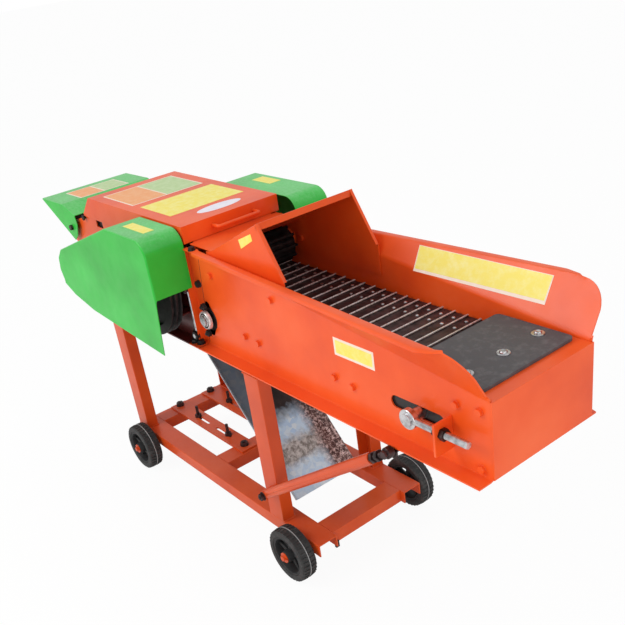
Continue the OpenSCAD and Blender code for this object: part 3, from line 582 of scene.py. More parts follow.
def bentRod(points, radius, bend=0.0, rings=6):
    # round bar along straight runs, with a radius at each corner
    path = [Vector(points[0])]
    for before, corner, after in zip(points, points[1:], points[2:]):
        corner = Vector(corner)
        start = corner + (Vector(before) - corner).normalized() * bend
        finish = corner + (Vector(after) - corner).normalized() * bend
        for step in range(rings + 1):
            t = step / rings
            path.append(start * (1 - t) ** 2 + corner * 2 * t * (1 - t) + finish * t ** 2)
    path.append(Vector(points[-1]))
    bpy.ops.curve.primitive_nurbs_path_add()
    rod = bpy.context.object
    rod.data.splines.clear()
    line = rod.data.splines.new("POLY")
    line.points.add(len(path) - 1)
    for point, place in zip(line.points, path):
        point.co = (*spot(*place), 1)
    rod.data.bevel_depth = radius * mm
    rod.data.bevel_resolution = 4
    rod.data.use_fill_caps = True
    selectOnly(rod)
    bpy.ops.object.convert(target="MESH")
    rod = bpy.context.object
    smoothen(rod, 40)
    return rod


def arc(cx, cz, radius, start, stop, steps=7):
    turns = [radians(start + (stop - start) * k / steps) for k in range(steps + 1)]
    return [(cx + radius * cos(turn), cz + radius * sin(turn)) for turn in turns]


# Base, legs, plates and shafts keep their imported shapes, with corners blunted by rolling, pressing and paint
blunted = {
    "base_rails": 2.2, "cross_channels": 2.2, "rear_legs": 2.2, "front_legs": 2.2, "top_channels": 1.8,
    "motor_bars": 1.0, "end_deck": 2.2, "lid": 2.2, "chamber_near": 1.0, "chamber_far": 1.0,
    "chamber_front": 0.8, "shear_bar": 0.8, "takeup_brackets": 1.2, "slide_bed": 0.6, "concave": 0.6,
    "stay_tube": 1.0, "roller_arms": 0.8, "rotor": 0.8, "knives": 0.5, "head_shaft": 1.0,
    "tail_shaft": 1.0, "hinge_pins": 0.8, "main_pulley": 0.8, "rotor_shaft": 0.6, "upper_roller": 0.6,
}
# chamber_near and top_channels take the enamel with the painted shadow of the side guard
otherFinish = {"hinge_pins": castIron, "chamber_near": guardShadedEnamel, "top_channels": guardShadedEnamel}
# the frame parts below the body take the darker orange, a painted shade
for nodeName in ("base_rails", "cross_channels", "motor_bars", "rear_legs", "front_legs", "stay_tube"):
    otherFinish[nodeName] = shadedFrameEnamel
for nodeName, width in blunted.items():
    fit(softened(nodeName, width), camel(nodeName), [nodeName], finish=otherFinish.get(nodeName))
print("channels, plates and shafts done")

# Wheels
wheel = {
    "radius": 78, "halfWidth": 23.5, "rim": 58, "hub": 17, "spokes": 5, "spokeHalf": (6.5, 9),
    "webHalf": (10.5, 2), "lugs": 36, "lugHalf": 2.9, "lugDeep": 6, "lugFrom": 4.2,
    "centres": {"nf": (912, -219.5), "nr": (85, -219.5), "ff": (912, 219.5), "fr": (85, 219.5)},
}


def tyreModel():
    # tread band of solid rubber, with a block of tread on each side of a thin middle line
    half, rim, radius = wheel["halfWidth"], wheel["rim"], wheel["radius"]
    band = turned(evenProfile([(rim, 2 - half), (rim + 2, -half), (rim + 13, -half), (rim + 16.5, 3 - half),
                               (radius - 2.6, -3), (radius - 1.2, -1.5)]), 72)
    wide, deep, first = wheel["lugHalf"], wheel["lugDeep"], wheel["lugFrom"]
    lug = block(middle + radius - deep, middle + radius, -wide, wide, first, half - 2.2)
    for vertex in lug.data.vertices:
        # lower on the shoulder, and narrower at the top
        if vertex.co.z > half / 2 * mm:
            vertex.co.x -= 2.2 * mm
        if vertex.co.x > (radius - 2) * mm:
            vertex.co.y *= 0.72
    blunt(lug, 0.7, 1)
    parts = [band]
    for flip, offset in ((0, 0), (pi, 0.5)):
        for k in range(wheel["lugs"]):
            turn = turnBy(tau * (k + offset) / wheel["lugs"], 4, "Z")
            parts.append(cloned(lug, turn @ turnBy(flip, 4, "X")))
    discard(lug)
    return joined(parts)


def rimModel():
    # moulded rim: ring with a lip each side, five thick spokes and a hub
    half, rim, hub = wheel["halfWidth"] - 2.5, wheel["rim"], wheel["hub"]
    ring = turned(evenProfile([(rim - 9.5, -6), (rim - 8, 2 - half), (rim - 6, -half),
                               (rim - 0.4, -half)]), 60)
    core = turned(evenProfile([(8.3, -26.5), (hub - 2, -26.5), (hub, -24), (hub + 1.5, -8)]), 40)
    parts = [ring, core]
    bars = []
    for (wide, high), edge, segments in ((wheel["spokeHalf"], 2.4, 2), (wheel["webHalf"], 0.8, 1)):
        bar = block(middle + hub - 2, middle + rim - 7, -wide, wide, -high, high)
        for vertex in bar.data.vertices:
            # the spoke is narrower at the rim, and the web isn't
            if high > wide and vertex.co.x > rim / 2 * mm:
                vertex.co.y *= 0.8
        blunt(bar, edge, segments)
        bars.append(bar)
    for k in range(wheel["spokes"]):
        for bar in bars:
            parts.append(cloned(bar, turnBy(tau * k / wheel["spokes"], 4, "Z")))
    discard(*bars)
    return joined(parts)


tyre, rimPart = tyreModel(), rimModel()
line = turned(evenProfile([(76.2, -1.3), (77.3, -0.9)]), 72)
for corner, (x, y) in wheel["centres"].items():
    outward = (0, copysign(1, y), 0)
    place = (x, y, wheel["radius"])
    fit(put(cloned(tyre), place, outward), "tyre" + corner.title(), ["tyre_" + corner])
    fit(put(cloned(rimPart), place, outward), "rim" + corner.title(), ["wheel_" + corner])
    fit(put(cloned(line), place, outward), "tyreLine" + corner.title(), body=bodyOf["tyre_" + corner],
        slot="tyre_rubber", finish=paleLine)
discard(tyre, rimPart, line)

# Axle ends, each with a washer and a cotter pin outside its wheel and a plate on the rail
axle = {"inner": 186, "radius": 7.8, "length": 70, "washer": 15}


def axleModel():
    # along Z, from the rail outward
    radius, length, washer = axle["radius"], axle["length"], axle["washer"]
    bar = turned([(0.1, 0), (radius, 0), (radius, length - 3), (radius - 1.2, length), (0.1, length)], 28)
    ring = turned([(8, length - 9), (washer, length - 9), (washer, length - 7), (8, length - 7)], 28)
    pin = bentRod([(middle - 12, 0, 65.4), (middle + 13, 0, 65.4), (middle + 17, 4, 65.4)], 1.6, 2, 3)
    lug = block(middle - 22, middle + 22, -14, 9, -6, 0, 1)
    return joined([bar, ring, pin, lug])


modelAxle = axleModel()
ends = []
for x, y in wheel["centres"].values():
    # its own Y stands upright and its Z points outward
    side = copysign(1, y)
    turn = Matrix(((-side, 0, 0), (0, 0, side), (0, 1, 0))).to_4x4()
    place = spot(x, side * axle["inner"], wheel["radius"])
    ends.append(cloned(modelAxle, moveBy(place) @ turn))
discard(modelAxle)
# the axle ends take the darker orange, a painted shade
fit(joined(ends), "axles", ["axles"], finish=shadedFrameEnamel)
print("wheels and axles done")

# Trough sides, one sheet each: bottom flange, wall, flared rim with a curved end, and a rolled lip
trough = {
    "start": 541, "end": 1561, "under": 573, "wall": 150, "flange": 188, "thick": 3.5,
    "bendStart": 850, "bendFall": 0.10196, "rimHigh": 848.7, "rimEnd": 1500, "curve": 57, "flare": 1.746,
    "lip": 18, "lipStart": 557, "lipFade": 50, "seamStart": 567.6, "seamLean": 0.1308,
    "slot": (1295, 1445, 643.5, 672.5), "bearingHole": (597, 658, 34), "flangeEnds": (577, 846),
    "frontPlate": (541, 614, -147.8, -146.2, 573.5, 847), "frontStrip": (517.6, 572, -188, -147, 573, 576.5),
    "frontCap": (557, 606, -165.5, -147, 846.5, 850.8), "seam": [(603, -149.6, 845), (568.5, -149.6, 577)],
}


def bendHeight(x):
    # the fold between the wall and the flare sinks towards the feed end
    return trough["bendStart"] - (x - trough["start"]) * trough["bendFall"]


def troughRow(x, slant, tip):
    # the section of the near wall at one place along it, from the flange tip up to the lip
    wall, under, flare = trough["wall"], trough["under"] + trough["thick"], trough["flare"]
    bend, past = bendHeight(x), x - trough["rimEnd"]
    rise = max(trough["rimHigh"] - bend, 0.05)
    if past > 0:
        rise *= 0.45 + 0.55 * sqrt(max(1 - min(past / trough["curve"], 1) ** 2, 0))
        if x > trough["end"] - 4.5:
            rise *= 0.2 if x < trough["end"] - 0.5 else 0.01
    # how much of the lip there is: it runs out towards the curved end
    drop = min(1, max(-past, 0) / trough["lipFade"]) if x >= trough["lipStart"] else 0
    top, reach, edge = bend + rise, wall + rise / flare, wall + rise / flare + trough["lip"] * drop
    points = [(tip, under), (wall + 5, under), (wall + 1.4, under + 1.2), (wall, under + 5),
              (wall, bend - 14), (wall, bend - 3), (wall + 0.5, bend + min(1.5, rise * 0.1))]
    points += [(wall + rise * part / flare, bend + rise * part) for part in (0.12, 0.5, 0.9)]
    points += [(reach + 0.4 * drop, top - 0.6 * drop), (reach + 2.4 * drop, top), (edge - 5 * drop, top),
               (edge - 3.4 * drop, top - 0.8 * drop), (edge - 3 * drop, top - 2.4 * drop),
               (edge - 3 * drop, top - 6.5 * drop)]
    lean = trough["seamLean"] if slant else 0
    return [(x + lean * (z - trough["under"]), -y, z) for y, z in points]


def troughSide(seam):
    # seam: the main plate starts at a slanted seam, and the plate before it lies a little deeper
    first = trough["seamStart"] if seam else trough["start"] + trough["thick"]
    rimEnd, curve = trough["rimEnd"], trough["curve"]
    places = [first, first + 0.5, 612, 700, 900, 1100, 1300, 1400, 1450, 1462, 1474, 1486]
    places += [rimEnd, rimEnd + 6]
    places += [rimEnd + curve * sin(radians(a)) for a in (14, 24, 34, 44, 54, 64, 74, 82, 90)]
    places += [trough["end"] - 1.5, trough["end"]]
    rows = []
    for x in places:
        tip = trough["flange"] - (0 if seam else max(x - rimEnd - 1, 0) * 19 / 60)
        rows.append(troughRow(x, seam and x < 600, tip))
    sheet = gridSheet(rows, trough["thick"], (0, -1, 0))
    x0, x1, z0, z1 = trough["slot"]
    radius, wall = (z1 - z0) / 2, trough["wall"]
    holeX, height, holeRadius = trough["bearingHole"]
    cutters = []
    for x, r in ((x0 + radius, radius), (x1 - radius, radius), (holeX, holeRadius)):
        bpy.ops.mesh.primitive_cylinder_add(vertices=40, radius=r * mm, depth=0.03)
        cutters.append(put(bpy.context.object, (x, 2 - wall, height), (0, -1, 0)))
    cutters.append(block(x0 + radius, x1 - radius, -wall - 13, 17 - wall, z0, z1))
    cut(sheet, *cutters)
    return sheet


def frontFlange():
    start, wall = trough["start"], trough["wall"]
    return block(start, start + trough["thick"], -wall - 18, 3 - wall, *trough["flangeEnds"], 1)


holeX, holeZ, holeRadius = trough["bearingHole"]
frontPlate = block(*trough["frontPlate"], 0.4)
cutter = turned(evenProfile([(0.1, -40), (holeRadius, -40)]), 40)
cut(frontPlate, put(cutter, (holeX, 3 - trough["wall"], holeZ), (0, 1, 0)))
nearParts = [troughSide(True), frontFlange(), frontPlate, block(*trough["frontStrip"], 0.8),
             block(*trough["frontCap"], 1)]
fit(joined(nearParts), "troughNear", ["trough_near"])
# a thin dark rod along the seam: painted shadow of the step where the main plate stands proud
fit(bentRod(trough["seam"], 0.8), "seamShadowLine", body="frame", finish=castIron)
farSide = joined([troughSide(False), frontFlange()])
farSide.data.transform(Matrix.Scale(-1, 4, (0, 1, 0)))
farSide.data.flip_normals()
smoothen(farSide)
fit(farSide, "troughFar", ["trough_far"])
print("trough sides done")

# Feed hood: sheet with its front edge folded down and the slanted edges folded in
hood = {
    "back": 640, "backHigh": 853, "top": (665, 857.2), "tip": (888.5, 963.8), "front": (965, 839),
    "low": 761, "half": 145.5, "thick": 2.6, "lip": 16, "infold": 9,
}


def feedHood():
    half, thick, back, low = hood["half"], hood["thick"], hood["back"], hood["low"]
    top, tip, front = hood["top"], hood["tip"], hood["front"]
    lipEnd = (tip[0] + 2, tip[1] - hood["lip"])

    def across(first, second):
        # a face from side to side between two points of the outline
        ring = ((first, -half), (second, -half), (second, half), (first, half))
        return [(x, y, z) for (x, z), y in ring]

    faces = [across(top, tip)]
    for side in (-half, half):
        outline = [(back, low), (front[0], low), front, tip, top, (back, hood["backHigh"])]
        faces.append([(x, side, z) for x, z in outline])
        inner = side * (1 - hood["infold"] / half)
        ring = ((front, side), (tip, side), (tip, inner), (front, inner))
        faces.append([(x, y, z) for (x, z), y in ring])
    sheet = foldSheet(faces, thick, (-0.5, 0, 1), 2.5, 0.5)
    return joined([sheet, foldSheet([across(tip, lipEnd)], thick, (1, 0, 0), 2, 0.5)])


fit(feedHood(), "feedHood", ["feed_hood"])

# Discharge hood: a bent roof and two cheeks folded down from it
visor = {
    "half": 163,
    "outline": [(-381, 854), (-220, 856), (-135, 831), (-128, 801), (-150, 761), (-176, 743)],
}


def dischargeHood():
    half, outline = visor["half"], visor["outline"]
    faces = []
    for (x0, z0), (x1, z1) in zip(outline[:2], outline[1:3]):
        faces.append([(x0, -half, z0), (x1, -half, z1), (x1, half, z1), (x0, half, z0)])
    for side in (-half, half):
        faces.append([(x, side, z) for x, z in outline])
    return foldSheet(faces, 2, (0, 0, 1), 3, 0.5)


fit(dischargeHood(), "rearHood", ["rear_hood"])

# Side guards: a flat plate with its rim folded back towards the body. Both share their nose and belly
guards = {
    "nose": [(-71.4, 669), (-81, 700), (-69, 741), (-35, 772)],
    "belly": [(112, 606), (-8, 630), (-67, 655)],
    "near": ([(338, 901)] + arc(510, 856, 45, 90, 0) + [(555, 741)], [(532, 578)]),
    "far": ([(285, 901)] + arc(580, 856, 45, 90, 0) + [(690, 761), (690, 669)],
            [(690, 601), (520, 586)]),
    "face": 274, "inner": 160, "shallow": 230, "shallowFrom": 626,
}


def sideGuard(which, sign):
    rim, low = guards["nose"] + guards[which][0], guards[which][1] + guards["belly"]
    face = sign * guards["face"]
    faces = [[(x, face, z) for x, z in rim + low]]
    for (x0, z0), (x1, z1) in zip(rim, rim[1:]):
        # beside the trough the far rim is shallow, to clear its lip
        shallow = which == "far" and x1 > guards["shallowFrom"]
        inner = sign * guards["shallow" if shallow else "inner"]
        faces.append([(x0, face, z0), (x1, face, z1), (x1, inner, z1), (x0, inner, z0)])
    return foldSheet(faces, 2, (0, sign, 0), 5, 0.5)


fit(sideGuard("near", -1), "beltGuard", ["belt_guard"])
fit(sideGuard("far", 1), "gearGuard", ["gear_guard"])
print("hoods and guards done")

# Conveyor: slats, their polished edges, rivets and two roller chains on one loop
conveyor = {
    "head": 597, "height": 658, "length": 781, "radius": 54.85, "slats": 50, "half": 137, "chain": 93,
    "links": 100, "halfLink": 9.53, "rivets": (-112, -74, 74, 112),
}


def loopPlace(s):
    # where the place s lies along the loop, with its own Z outward
    length, radius = conveyor["length"], conveyor["radius"]
    arcLength = pi * radius
    start = moveBy(spot(conveyor["head"], 0, conveyor["height"]))
    outward = moveBy((0, 0, radius * mm))
    if s < length:
        return start @ moveBy((s * mm, 0, radius * mm))
    if s < length + arcLength:
        turn = turnBy((s - length) / radius, 4, "Y")
        return start @ moveBy((length * mm, 0, 0)) @ turn @ outward
    if s < 2 * length + arcLength:
        turn = turnBy(pi, 4, "Y")
        return start @ moveBy(((2 * length + arcLength - s) * mm, 0, -radius * mm)) @ turn
    turn = turnBy(pi + (s - 2 * length - arcLength) / radius, 4, "Y")
    return start @ turn @ outward


def along(model, count, start=0.5):
    # the model repeated round the loop
    length = 2 * conveyor["length"] + tau * conveyor["radius"]
    made = [cloned(model, loopPlace((k + start) * length / count)) for k in range(count)]
    discard(model)
    return joined(made)


half = conveyor["half"]
slat = extruded([(-15, 9), (15, 9), (15, 12), (-11, 12), (-12, 13), (-12, 15.6), (-15, 15.6)],
                -half, half, 0.5)
fit(along(slat, conveyor["slats"]), "slats", ["slats"])
edge = extruded([(-15.2, 14.2), (-11.8, 14.2), (-11.8, 16.2), (-12.6, 17), (-14.4, 17), (-15.2, 16.2)],
                -half + 0.5, half - 0.5)
fit(along(edge, conveyor["slats"]), "slatEdges", body=bodyOf["slats"], slot="bare_steel", finish=polished)
domes = []
for y in conveyor["rivets"]:
    dome = turned([(0.1, 11.8), (4.8, 11.8), (4.6, 13), (3.4, 14), (1.6, 14.5), (0.1, 14.6)], 12)
    domes.append(shifted(dome, 4, y, 0))
fit(along(joined(domes), conveyor["slats"]), "slatRivets", ["slat_rivets"])


def linkPlate(y, reach=7.4, waist=5.2, thick=2.0):
    outline = []
    for sign, start in ((1, -80), (-1, 100)):
        outline += arc(sign * conveyor["halfLink"], 0, reach, start, start + 160, 5)
        outline.append((0, sign * waist))
    return extruded(outline, y - thick / 2, y + thick / 2)


def chainPair(side):
    y = side * conveyor["chain"]
    parts = [linkPlate(y + 8.8), linkPlate(y - 8.8)]
    inner = [linkPlate(y + 6.4), linkPlate(y - 6.4)]
    roller = turned(evenProfile([(0.1, -5.2), (5.9, -5.2)]), 14)
    pin = turned(evenProfile([(0.1, -10.6), (2.6, -10.6)]), 10)
    for x in (-conveyor["halfLink"], conveyor["halfLink"]):
        turn = moveBy((x * mm, y * mm, 0)) @ turnBy(pi / 2, 4, "X")
        parts += [cloned(roller, turn), cloned(pin, turn)]
    discard(roller, pin)
    count = conveyor["links"] // 2
    return [along(joined(parts), count, start=0.25), along(joined(inner), count, start=0.75)]


fit(joined(chainPair(-1) + chainPair(1)), "chains", ["chains"])
print("conveyor done")

# Bearings: an oval one at each end of the head shaft, and round ones on the rotor shaft
bearing = {"head": (597, 658), "headBore": 14, "rotor": (400, 736), "rotorBore": 20, "face": 150}


def ovalBearing(bore):
    # along Z, from the wall outward
    points = arc(38, 0, 13, -60, 60, 6) + arc(0, 0, 33, 52, 128, 6) + arc(-38, 0, 13, 120, 240, 6)
    points += arc(0, 0, 33, 232, 308, 6)
    plate = extruded(points, 0, 9, 1.4)
    plate.data.transform(turnBy(pi / 2, 4, "X") @ Matrix.Scale(-1, 4, (0, 1, 0)))
    plate.data.flip_normals()
    parts = [plate, turned([(bore + 0.1, 0), (26, 9), (24.5, 15), (22, 17.5), (20, 18), (19, 16.4),
                            (bore + 4, 16.4), (bore + 3.4, 18), (bore + 0.1, 18)], 36)]
    for x in (-38, 38):
        parts.append(shifted(hexHead(17, 7, 10, 5, 14), x, 0, 9))
    return joined(parts)


def roundBearing(bore):
    parts = [turned([(bore + 0.1, 0), (56, 0), (56, 8.5), (54.5, 10), (41, 10), (38, 19), (36, 20),
                     (30, 20), (29, 18), (bore + 5, 18), (bore + 4, 20), (bore + 0.1, 20)], 40)]
    for k in range(4):
        turn = radians(45 + 90 * k)
        parts.append(shifted(hexHead(14, 6, 8.5), 46 * cos(turn), 46 * sin(turn), 9))
    return joined(parts)


def upright(side):
    # angle that stands the model's own X upright once it faces the side
    own = turnTo((0, side, 0)).to_3x3().inverted() @ Vector((0, 0, 1))
    return degrees(atan2(own.y, own.x))


oval, roundOne = ovalBearing(bearing["headBore"]), roundBearing(bearing["rotorBore"])
housings = []
for side in (-1, 1):
    for model, centre in ((oval, bearing["head"]), (roundOne, bearing["rotor"])):
        housings.append(facing(cloned(model), *centre, side, bearing["face"], upright(side)))
discard(oval, roundOne)
fit(joined(housings), "flangeBearings", ["flange_bearings"])
insert = joined([
    turned([(14.2, 16.6), (17.4, 16.6), (17.4, 17.6), (16.6, 18.6), (15, 18.6), (14.2, 18)], 36),
    turned([(20.5, 15), (27, 9.2), (26.2, 14.6), (24.4, 18), (22, 19), (20.5, 18)], 36)])
rings = [facing(cloned(insert), *bearing["head"], side, bearing["face"]) for side in (-1, 1)]
discard(insert)
fit(joined(rings), "bearingRings", body="frame", slot="bare_steel", finish=polished)

# Bolts through the side walls, under the same paint
wallBolts = [(647, 791), (906, 786), (762, 651), (820, 649), (1114, 651), (1174, 646), (1478, 713),
             (1536, 718), (1537, 593)]
bolt = hexHead(15, 6, 9)
bolts = [facing(cloned(bolt), x, z, side, trough["wall"], 17 * i)
         for side in (-1, 1) for i, (x, z) in enumerate(wallBolts)]
discard(bolt)
fit(joined(bolts), "bodyBolts", ["body_bolts"])

# Take-up: a sliding block on the tail shaft, its screw and nuts on each side
takeUp = {
    "x": 1378, "z": 658, "y": 180, "screwEnd": 1533, "screwRadius": 8, "nuts": (1449, 1466), "eyeFace": 173,
    "shield": (1292, 1508, 143, 144.5, 634, 682), "slotShadeHole": 15,
}


def takeUpScrew(side):
    start = takeUp["x"] + 12
    rod = turned(threadOutline(takeUp["screwRadius"], 0, takeUp["screwEnd"] - start), 20)
    put(rod, (start, side * takeUp["y"], takeUp["z"]), (1, 0, 0))
    eye = facing(turned([(14.05, 0), (21, 0), (22, 1), (22, 13), (21, 14), (14.05, 14)], 36),
                 takeUp["x"], takeUp["z"], side, takeUp["eyeFace"])
    return [rod, eye]


fit(joined(takeUpScrew(-1) + takeUpScrew(1)), "takeUpScrews", ["takeup_screws"])
nuts = [put(hexHead(24, 11), (x, side * takeUp["y"], takeUp["z"]), (1, 0, 0))
        for side in (-1, 1) for x in takeUp["nuts"]]
fit(joined(nuts), "takeUpNuts", ["takeup_nuts"], finish=darkSteel)

# Take-up slot shades: a dark strip behind each slot, a painted shade in the slot, with a hole for the shaft,
# that slides with it
slotShades, hole = [], takeUp["slotShadeHole"]
x0, x1, inner, outer, z0, z1 = takeUp["shield"]
for y0, y1 in ((-outer, -inner), (inner, outer)):
    shield = block(x0, x1, y0, y1, z0, z1, 0.3)
    cutter = turned(evenProfile([(0.1, -20), (hole, -20)]), 32)
    cut(shield, put(cutter, (takeUp["x"], (y0 + y1) / 2, takeUp["z"]), (0, 1, 0)))
    slotShades.append(shield)
fit(joined(slotShades), "takeUpSlotShades", body=bodyOf["takeup_screws"], slot="black_paint")

# Lid handle: bent round bar
handle = {"x": 550, "reach": 31, "ends": (-60, 72), "z": 882, "radius": 5, "bend": 9}
(inX, outX), (lowY, highY) = (handle["x"], handle["x"] + handle["reach"]), handle["ends"]
corners = [(x, y, handle["z"]) for x, y in ((inX, lowY), (outX, lowY), (outX, highY), (inX, highY))]
fit(bentRod(corners, handle["radius"], handle["bend"]), "lidHandle", ["lid_handle"])

# Rubber pad on the deck, its corners cut round, under three bolts with wide washers
pad = {"x": (1335, 1530), "half": 137, "z": (746, 754), "corner": 12, "boltX": 1466, "bolts": (-105, 0, 105)}


def rubberPad():
    sheet = block(*pad["x"], -pad["half"], pad["half"], *pad["z"])
    points = sheet.data.vertices
    pickEdges(sheet, lambda e: abs(points[e.vertices[0]].co.z - points[e.vertices[1]].co.z) > 0.005)
    bpy.ops.mesh.bevel(offset=pad["corner"] * mm, segments=6, affect="EDGES")
    setMode("OBJECT")
    blunt(sheet, 1.2, 2)
    return sheet


fit(rubberPad(), "rubberPad", ["rubber_pad"])
washer = turned([(0.1, 0), (14, 0), (14, 1.6), (13.4, 2.2), (8.4, 2.2), (8, 4.4), (6.6, 6), (5.4, 6.3),
                 (4.4, 5.4), (0.1, 5.2)], 28)
padBolts = [put(cloned(washer), (pad["boltX"], y, pad["z"][1])) for y in pad["bolts"]]
discard(washer)
fit(joined(padBolts), "padBolts", ["pad_bolts"])
print("fittings done")

# Blank stickers of vinyl in five colours, each a little above the surface that carries it
stickerSize = {"lift": 0.35, "thick": 0.3}
lidTop, guardTop, over = 904, 901, 0.3


def stickerOn(name, finish, body, outward, corners):
    # corners run round the sticker on the surface that carries it
    flat = foldSheet([corners], stickerSize["thick"], outward, 0, 0.1)
    flat.data.transform(moveBy(Vector(outward).normalized() * stickerSize["lift"] * mm))
    fit(flat, name, body=body, finish=finish)


def ringRound(x0, x1, low, high):
    return [(x0, low), (x1, low), (x1, high), (x0, high)]


def flatCorners(z, *sides):
    return [(x, y, z) for x, y in ringRound(*sides)]


def wallCorners(lift, *sides):
    return [(x, -trough["wall"] - lift, z) for x, z in ringRound(*sides)]


def roofCorners(lift, *sides):
    # a place on the upper part of the discharge hood's roof
    (x0, z0), (x1, z1) = visor["outline"][:2]
    return [(x, y, z0 + (x - x0) * (z1 - z0) / (x1 - x0) + lift) for x, y in ringRound(*sides)]


def flareCorners(corners, lift=0.0):
    # a place on the inner face of the flare of the far wall
    return [(x, 145.6 + (z - bendHeight(x)) / trough["flare"] - lift, z) for x, z in corners]


up, toNear, downFlare = (0, 0, 1), (0, -1, 0), (0, -1, 0.57)
rearBody, feedBody = bodyOf["rear_hood"], bodyOf["feed_hood"]
circle = [(485 + 26 * cos(tau * k / 40), 8 + 70 * sin(tau * k / 40), lidTop) for k in range(40)]
feedCorners = [(x, -hood["half"], z) for x, z in ((805, 913), (862, 937), (865, 921), (811, 892))]
farOuter = [(1078, 793), (1438, 788), (1438, 842), (1075, 846.5)]
farInner = [(1081, 799), (1434, 795), (1436, 841), (1077, 845.5)]
stickers = [
    ("lidStickerBorder", creamVinyl, "lid_body", up, flatCorners(lidTop, 35, 228, -123, 118)),
    ("lidStickerTan", tanVinyl, "lid_body", up, flatCorners(lidTop + over, 40, 223, -118, -8)),
    ("lidStickerGreen", paleGreenVinyl, "lid_body", up, flatCorners(lidTop + over, 40, 223, -3, 113)),
    ("lidStickerYellow", yellowVinyl, "lid_body", up, flatCorners(lidTop, 265, 436, -118, 124)),
    ("lidStickerWhite", whiteVinyl, "lid_body", up, circle),
    ("wallStickerBorder", creamVinyl, "frame", toNear, wallCorners(0, 1125, 1254, 711, 754)),
    ("wallStickerYellow", yellowVinyl, "frame", toNear, wallCorners(over, 1131, 1248, 717, 748)),
    ("roofStickerBorder", creamVinyl, rearBody, up, roofCorners(0, -346, -224, -90, 91)),
    ("roofStickerTan", tanVinyl, rearBody, up, roofCorners(over, -341, -229, -85, -3)),
    ("roofStickerGreen", paleGreenVinyl, rearBody, up, roofCorners(over, -341, -229, 3, 86)),
    ("guardStickerNear", yellowVinyl, "frame", up, flatCorners(guardTop, 373, 490, -232, -200)),
    ("guardStickerFar", yellowVinyl, "frame", up, flatCorners(guardTop, 347, 438, 215, 255)),
    ("hoodStickerYellow", yellowVinyl, feedBody, toNear, feedCorners),
    ("farStickerBorder", creamVinyl, "frame", downFlare, flareCorners(farOuter)),
    ("farStickerYellow", yellowVinyl, "frame", downFlare, flareCorners(farInner, 0.4)),
]
for sticker in stickers:
    stickerOn(*sticker)
print("stickers done")

# Stay: threaded end with two nuts, and an eye bolted to a lug under the trough
stay = {
    "low": (807, -202, 212), "high": (1330, -202, 569), "thread": (7, 92, 6), "nuts": (65.5, 44),
    "eyeFace": 194, "boltFace": 209.5, "pivotFace": 215.5, "lug": (-193.5, -188.5), "lugHalf": 14,
    "lugDrop": 18, "lugInner": -156, "flange": (568.5, 572.5),
}


def stayPieces():
    low, high = Vector(stay["low"]), Vector(stay["high"])
    run, length = (high - low).normalized(), (high - low).length
    radius, back, short = stay["thread"]
    parts = [put(turned(threadOutline(radius, length - back, length - short), 20), stay["low"], run)]
    for back in stay["nuts"]:
        parts.append(put(hexHead(23, 11), low + run * (length - back), run))
    x, z = high.x, high.z
    x0, x1 = x - stay["lugHalf"], x + stay["lugHalf"]
    (outer, inner), (under, over) = stay["lug"], stay["flange"]
    eye = turned([(6.1, 0), (12, 0), (13, 1), (13, 15), (12, 16), (6.1, 16)], 32)
    parts += [facing(eye, x, z, -1, stay["eyeFace"]),
              facing(hexHead(17, 7, 11), x, z, -1, stay["boltFace"]),
              block(x0, x1, outer, inner, z - stay["lugDrop"], over, 1),
              block(x0, x1, outer, stay["lugInner"], under, over, 1)]
    return joined(parts)


fit(stayPieces(), "stayScrew", ["stay_screw"], finish=darkSteel)
pivotBolt = facing(hexHead(19, 9, 13, 5, 14), stay["low"][0], stay["low"][2], -1, stay["pivotFace"])
fit(pivotBolt, "stayPivotBolt", body="frame", slot="dark_steel")

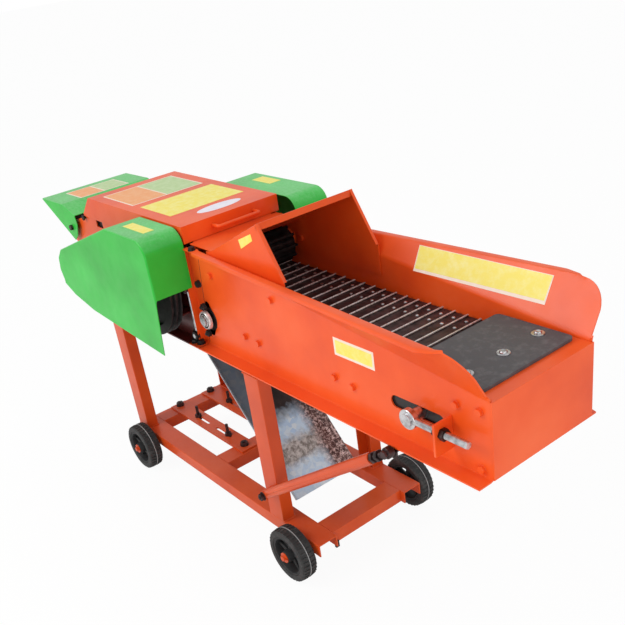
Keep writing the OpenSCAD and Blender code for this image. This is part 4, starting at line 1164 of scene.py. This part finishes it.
# Dark fixings: nuts on the near wall, bolts and a strip on its flanges, and a hook at the front channel
dark = {
    "wallNuts": [((24, 8, 14), 533, 597, 164), ((17, 8, 10.5), 574, 752, 147.6)],
    "bolts": [((18, 9, 12), (549, -166, 576.5)), ((16, 8, 11), (526, -172, 576.5)),
              ((16, 7, 10), (590, -158, 850.6))],
    "strip": (512, 545, -174, -152, 577.6, 582), "hook": (973, 981, -124, -112, 72, 92),
}
fixings = [facing(hexHead(*size), x, z, -1, face) for size, x, z, face in dark["wallNuts"]]
fixings += [put(hexHead(*size), place) for size, place in dark["bolts"]]
fixings += [block(*dark["strip"], 1), block(*dark["hook"], 1.4)]
fit(joined(fixings), "darkFixings", body="frame", slot="dark_steel", finish=castIron)

# Dark linings behind the hinge openings and a dark flap in the discharge hood, painted shade where the inside
# is dark, and a bolt on the feed hood
inside = {
    "lining": (-30, 62, 790, 842), "openingShadeFaces": ((-142, -140.5), (140.5, 142)),
    "flap": (-206, -203.5, -143, 143, 790, 848), "hoodBolt": (658, 801, -142.8),
}
x0, x1, z0, z1 = inside["lining"]
openingShades = [block(x0, x1, y0, y1, z0, z1, 0.4) for y0, y1 in inside["openingShadeFaces"]]
fit(joined(openingShades), "hingeLinings", body="frame", slot="black_paint")
flap = block(*inside["flap"], 0.4)
fit(flap, "hoodFlap", body=rearBody, slot="rubber_sheet", finish=wheelPlastic)
boltX, boltZ, boltFace = inside["hoodBolt"]
hoodBolt = facing(hexHead(15, 6), boltX, boltZ, -1, boltFace)
fit(hoodBolt, "hoodBolt", body=feedBody, slot="orange_paint")

# Welds round the feet and heads of the legs
welds = {"legs": ((7, 572), (775, 570)), "foot": 122, "outer": 187, "inner": 147, "width": 64, "radius": 2.2}
beads = []
for x, head in welds["legs"]:
    for side in (-1, 1):
        for z, outer in ((welds["foot"], welds["outer"] - 2.5), (head - 1.5, welds["outer"])):
            last = outer - 0.5
            beads.append(bentRod([(x - 1, side * outer, z), (x + welds["width"], side * outer, z),
                                  (x + welds["width"], side * welds["inner"], z),
                                  (x - 1, side * welds["inner"], z), (x - 1, side * last, z)],
                                 welds["radius"], 3, 3))
weld = joined(beads)
applyModifier(weld, "DISPLACE", strength=0.9 * mm, mid_level=0.5,
              texture=bpy.data.textures.new("weld ripple", "CLOUDS"), texture_coords="LOCAL")
# the welds take the darker orange, a painted shade
fit(weld, "legWelds", body="frame", slot="orange_paint", finish=shadedFrameEnamel)

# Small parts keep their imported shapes, with blunt edges
for nodeName in ("hood_pivots", "press_rods", "motor_bolts", "chute"):
    fit(softened(nodeName, 0.5, 1), camel(nodeName), [nodeName])
print("stay, fixings and welds done")
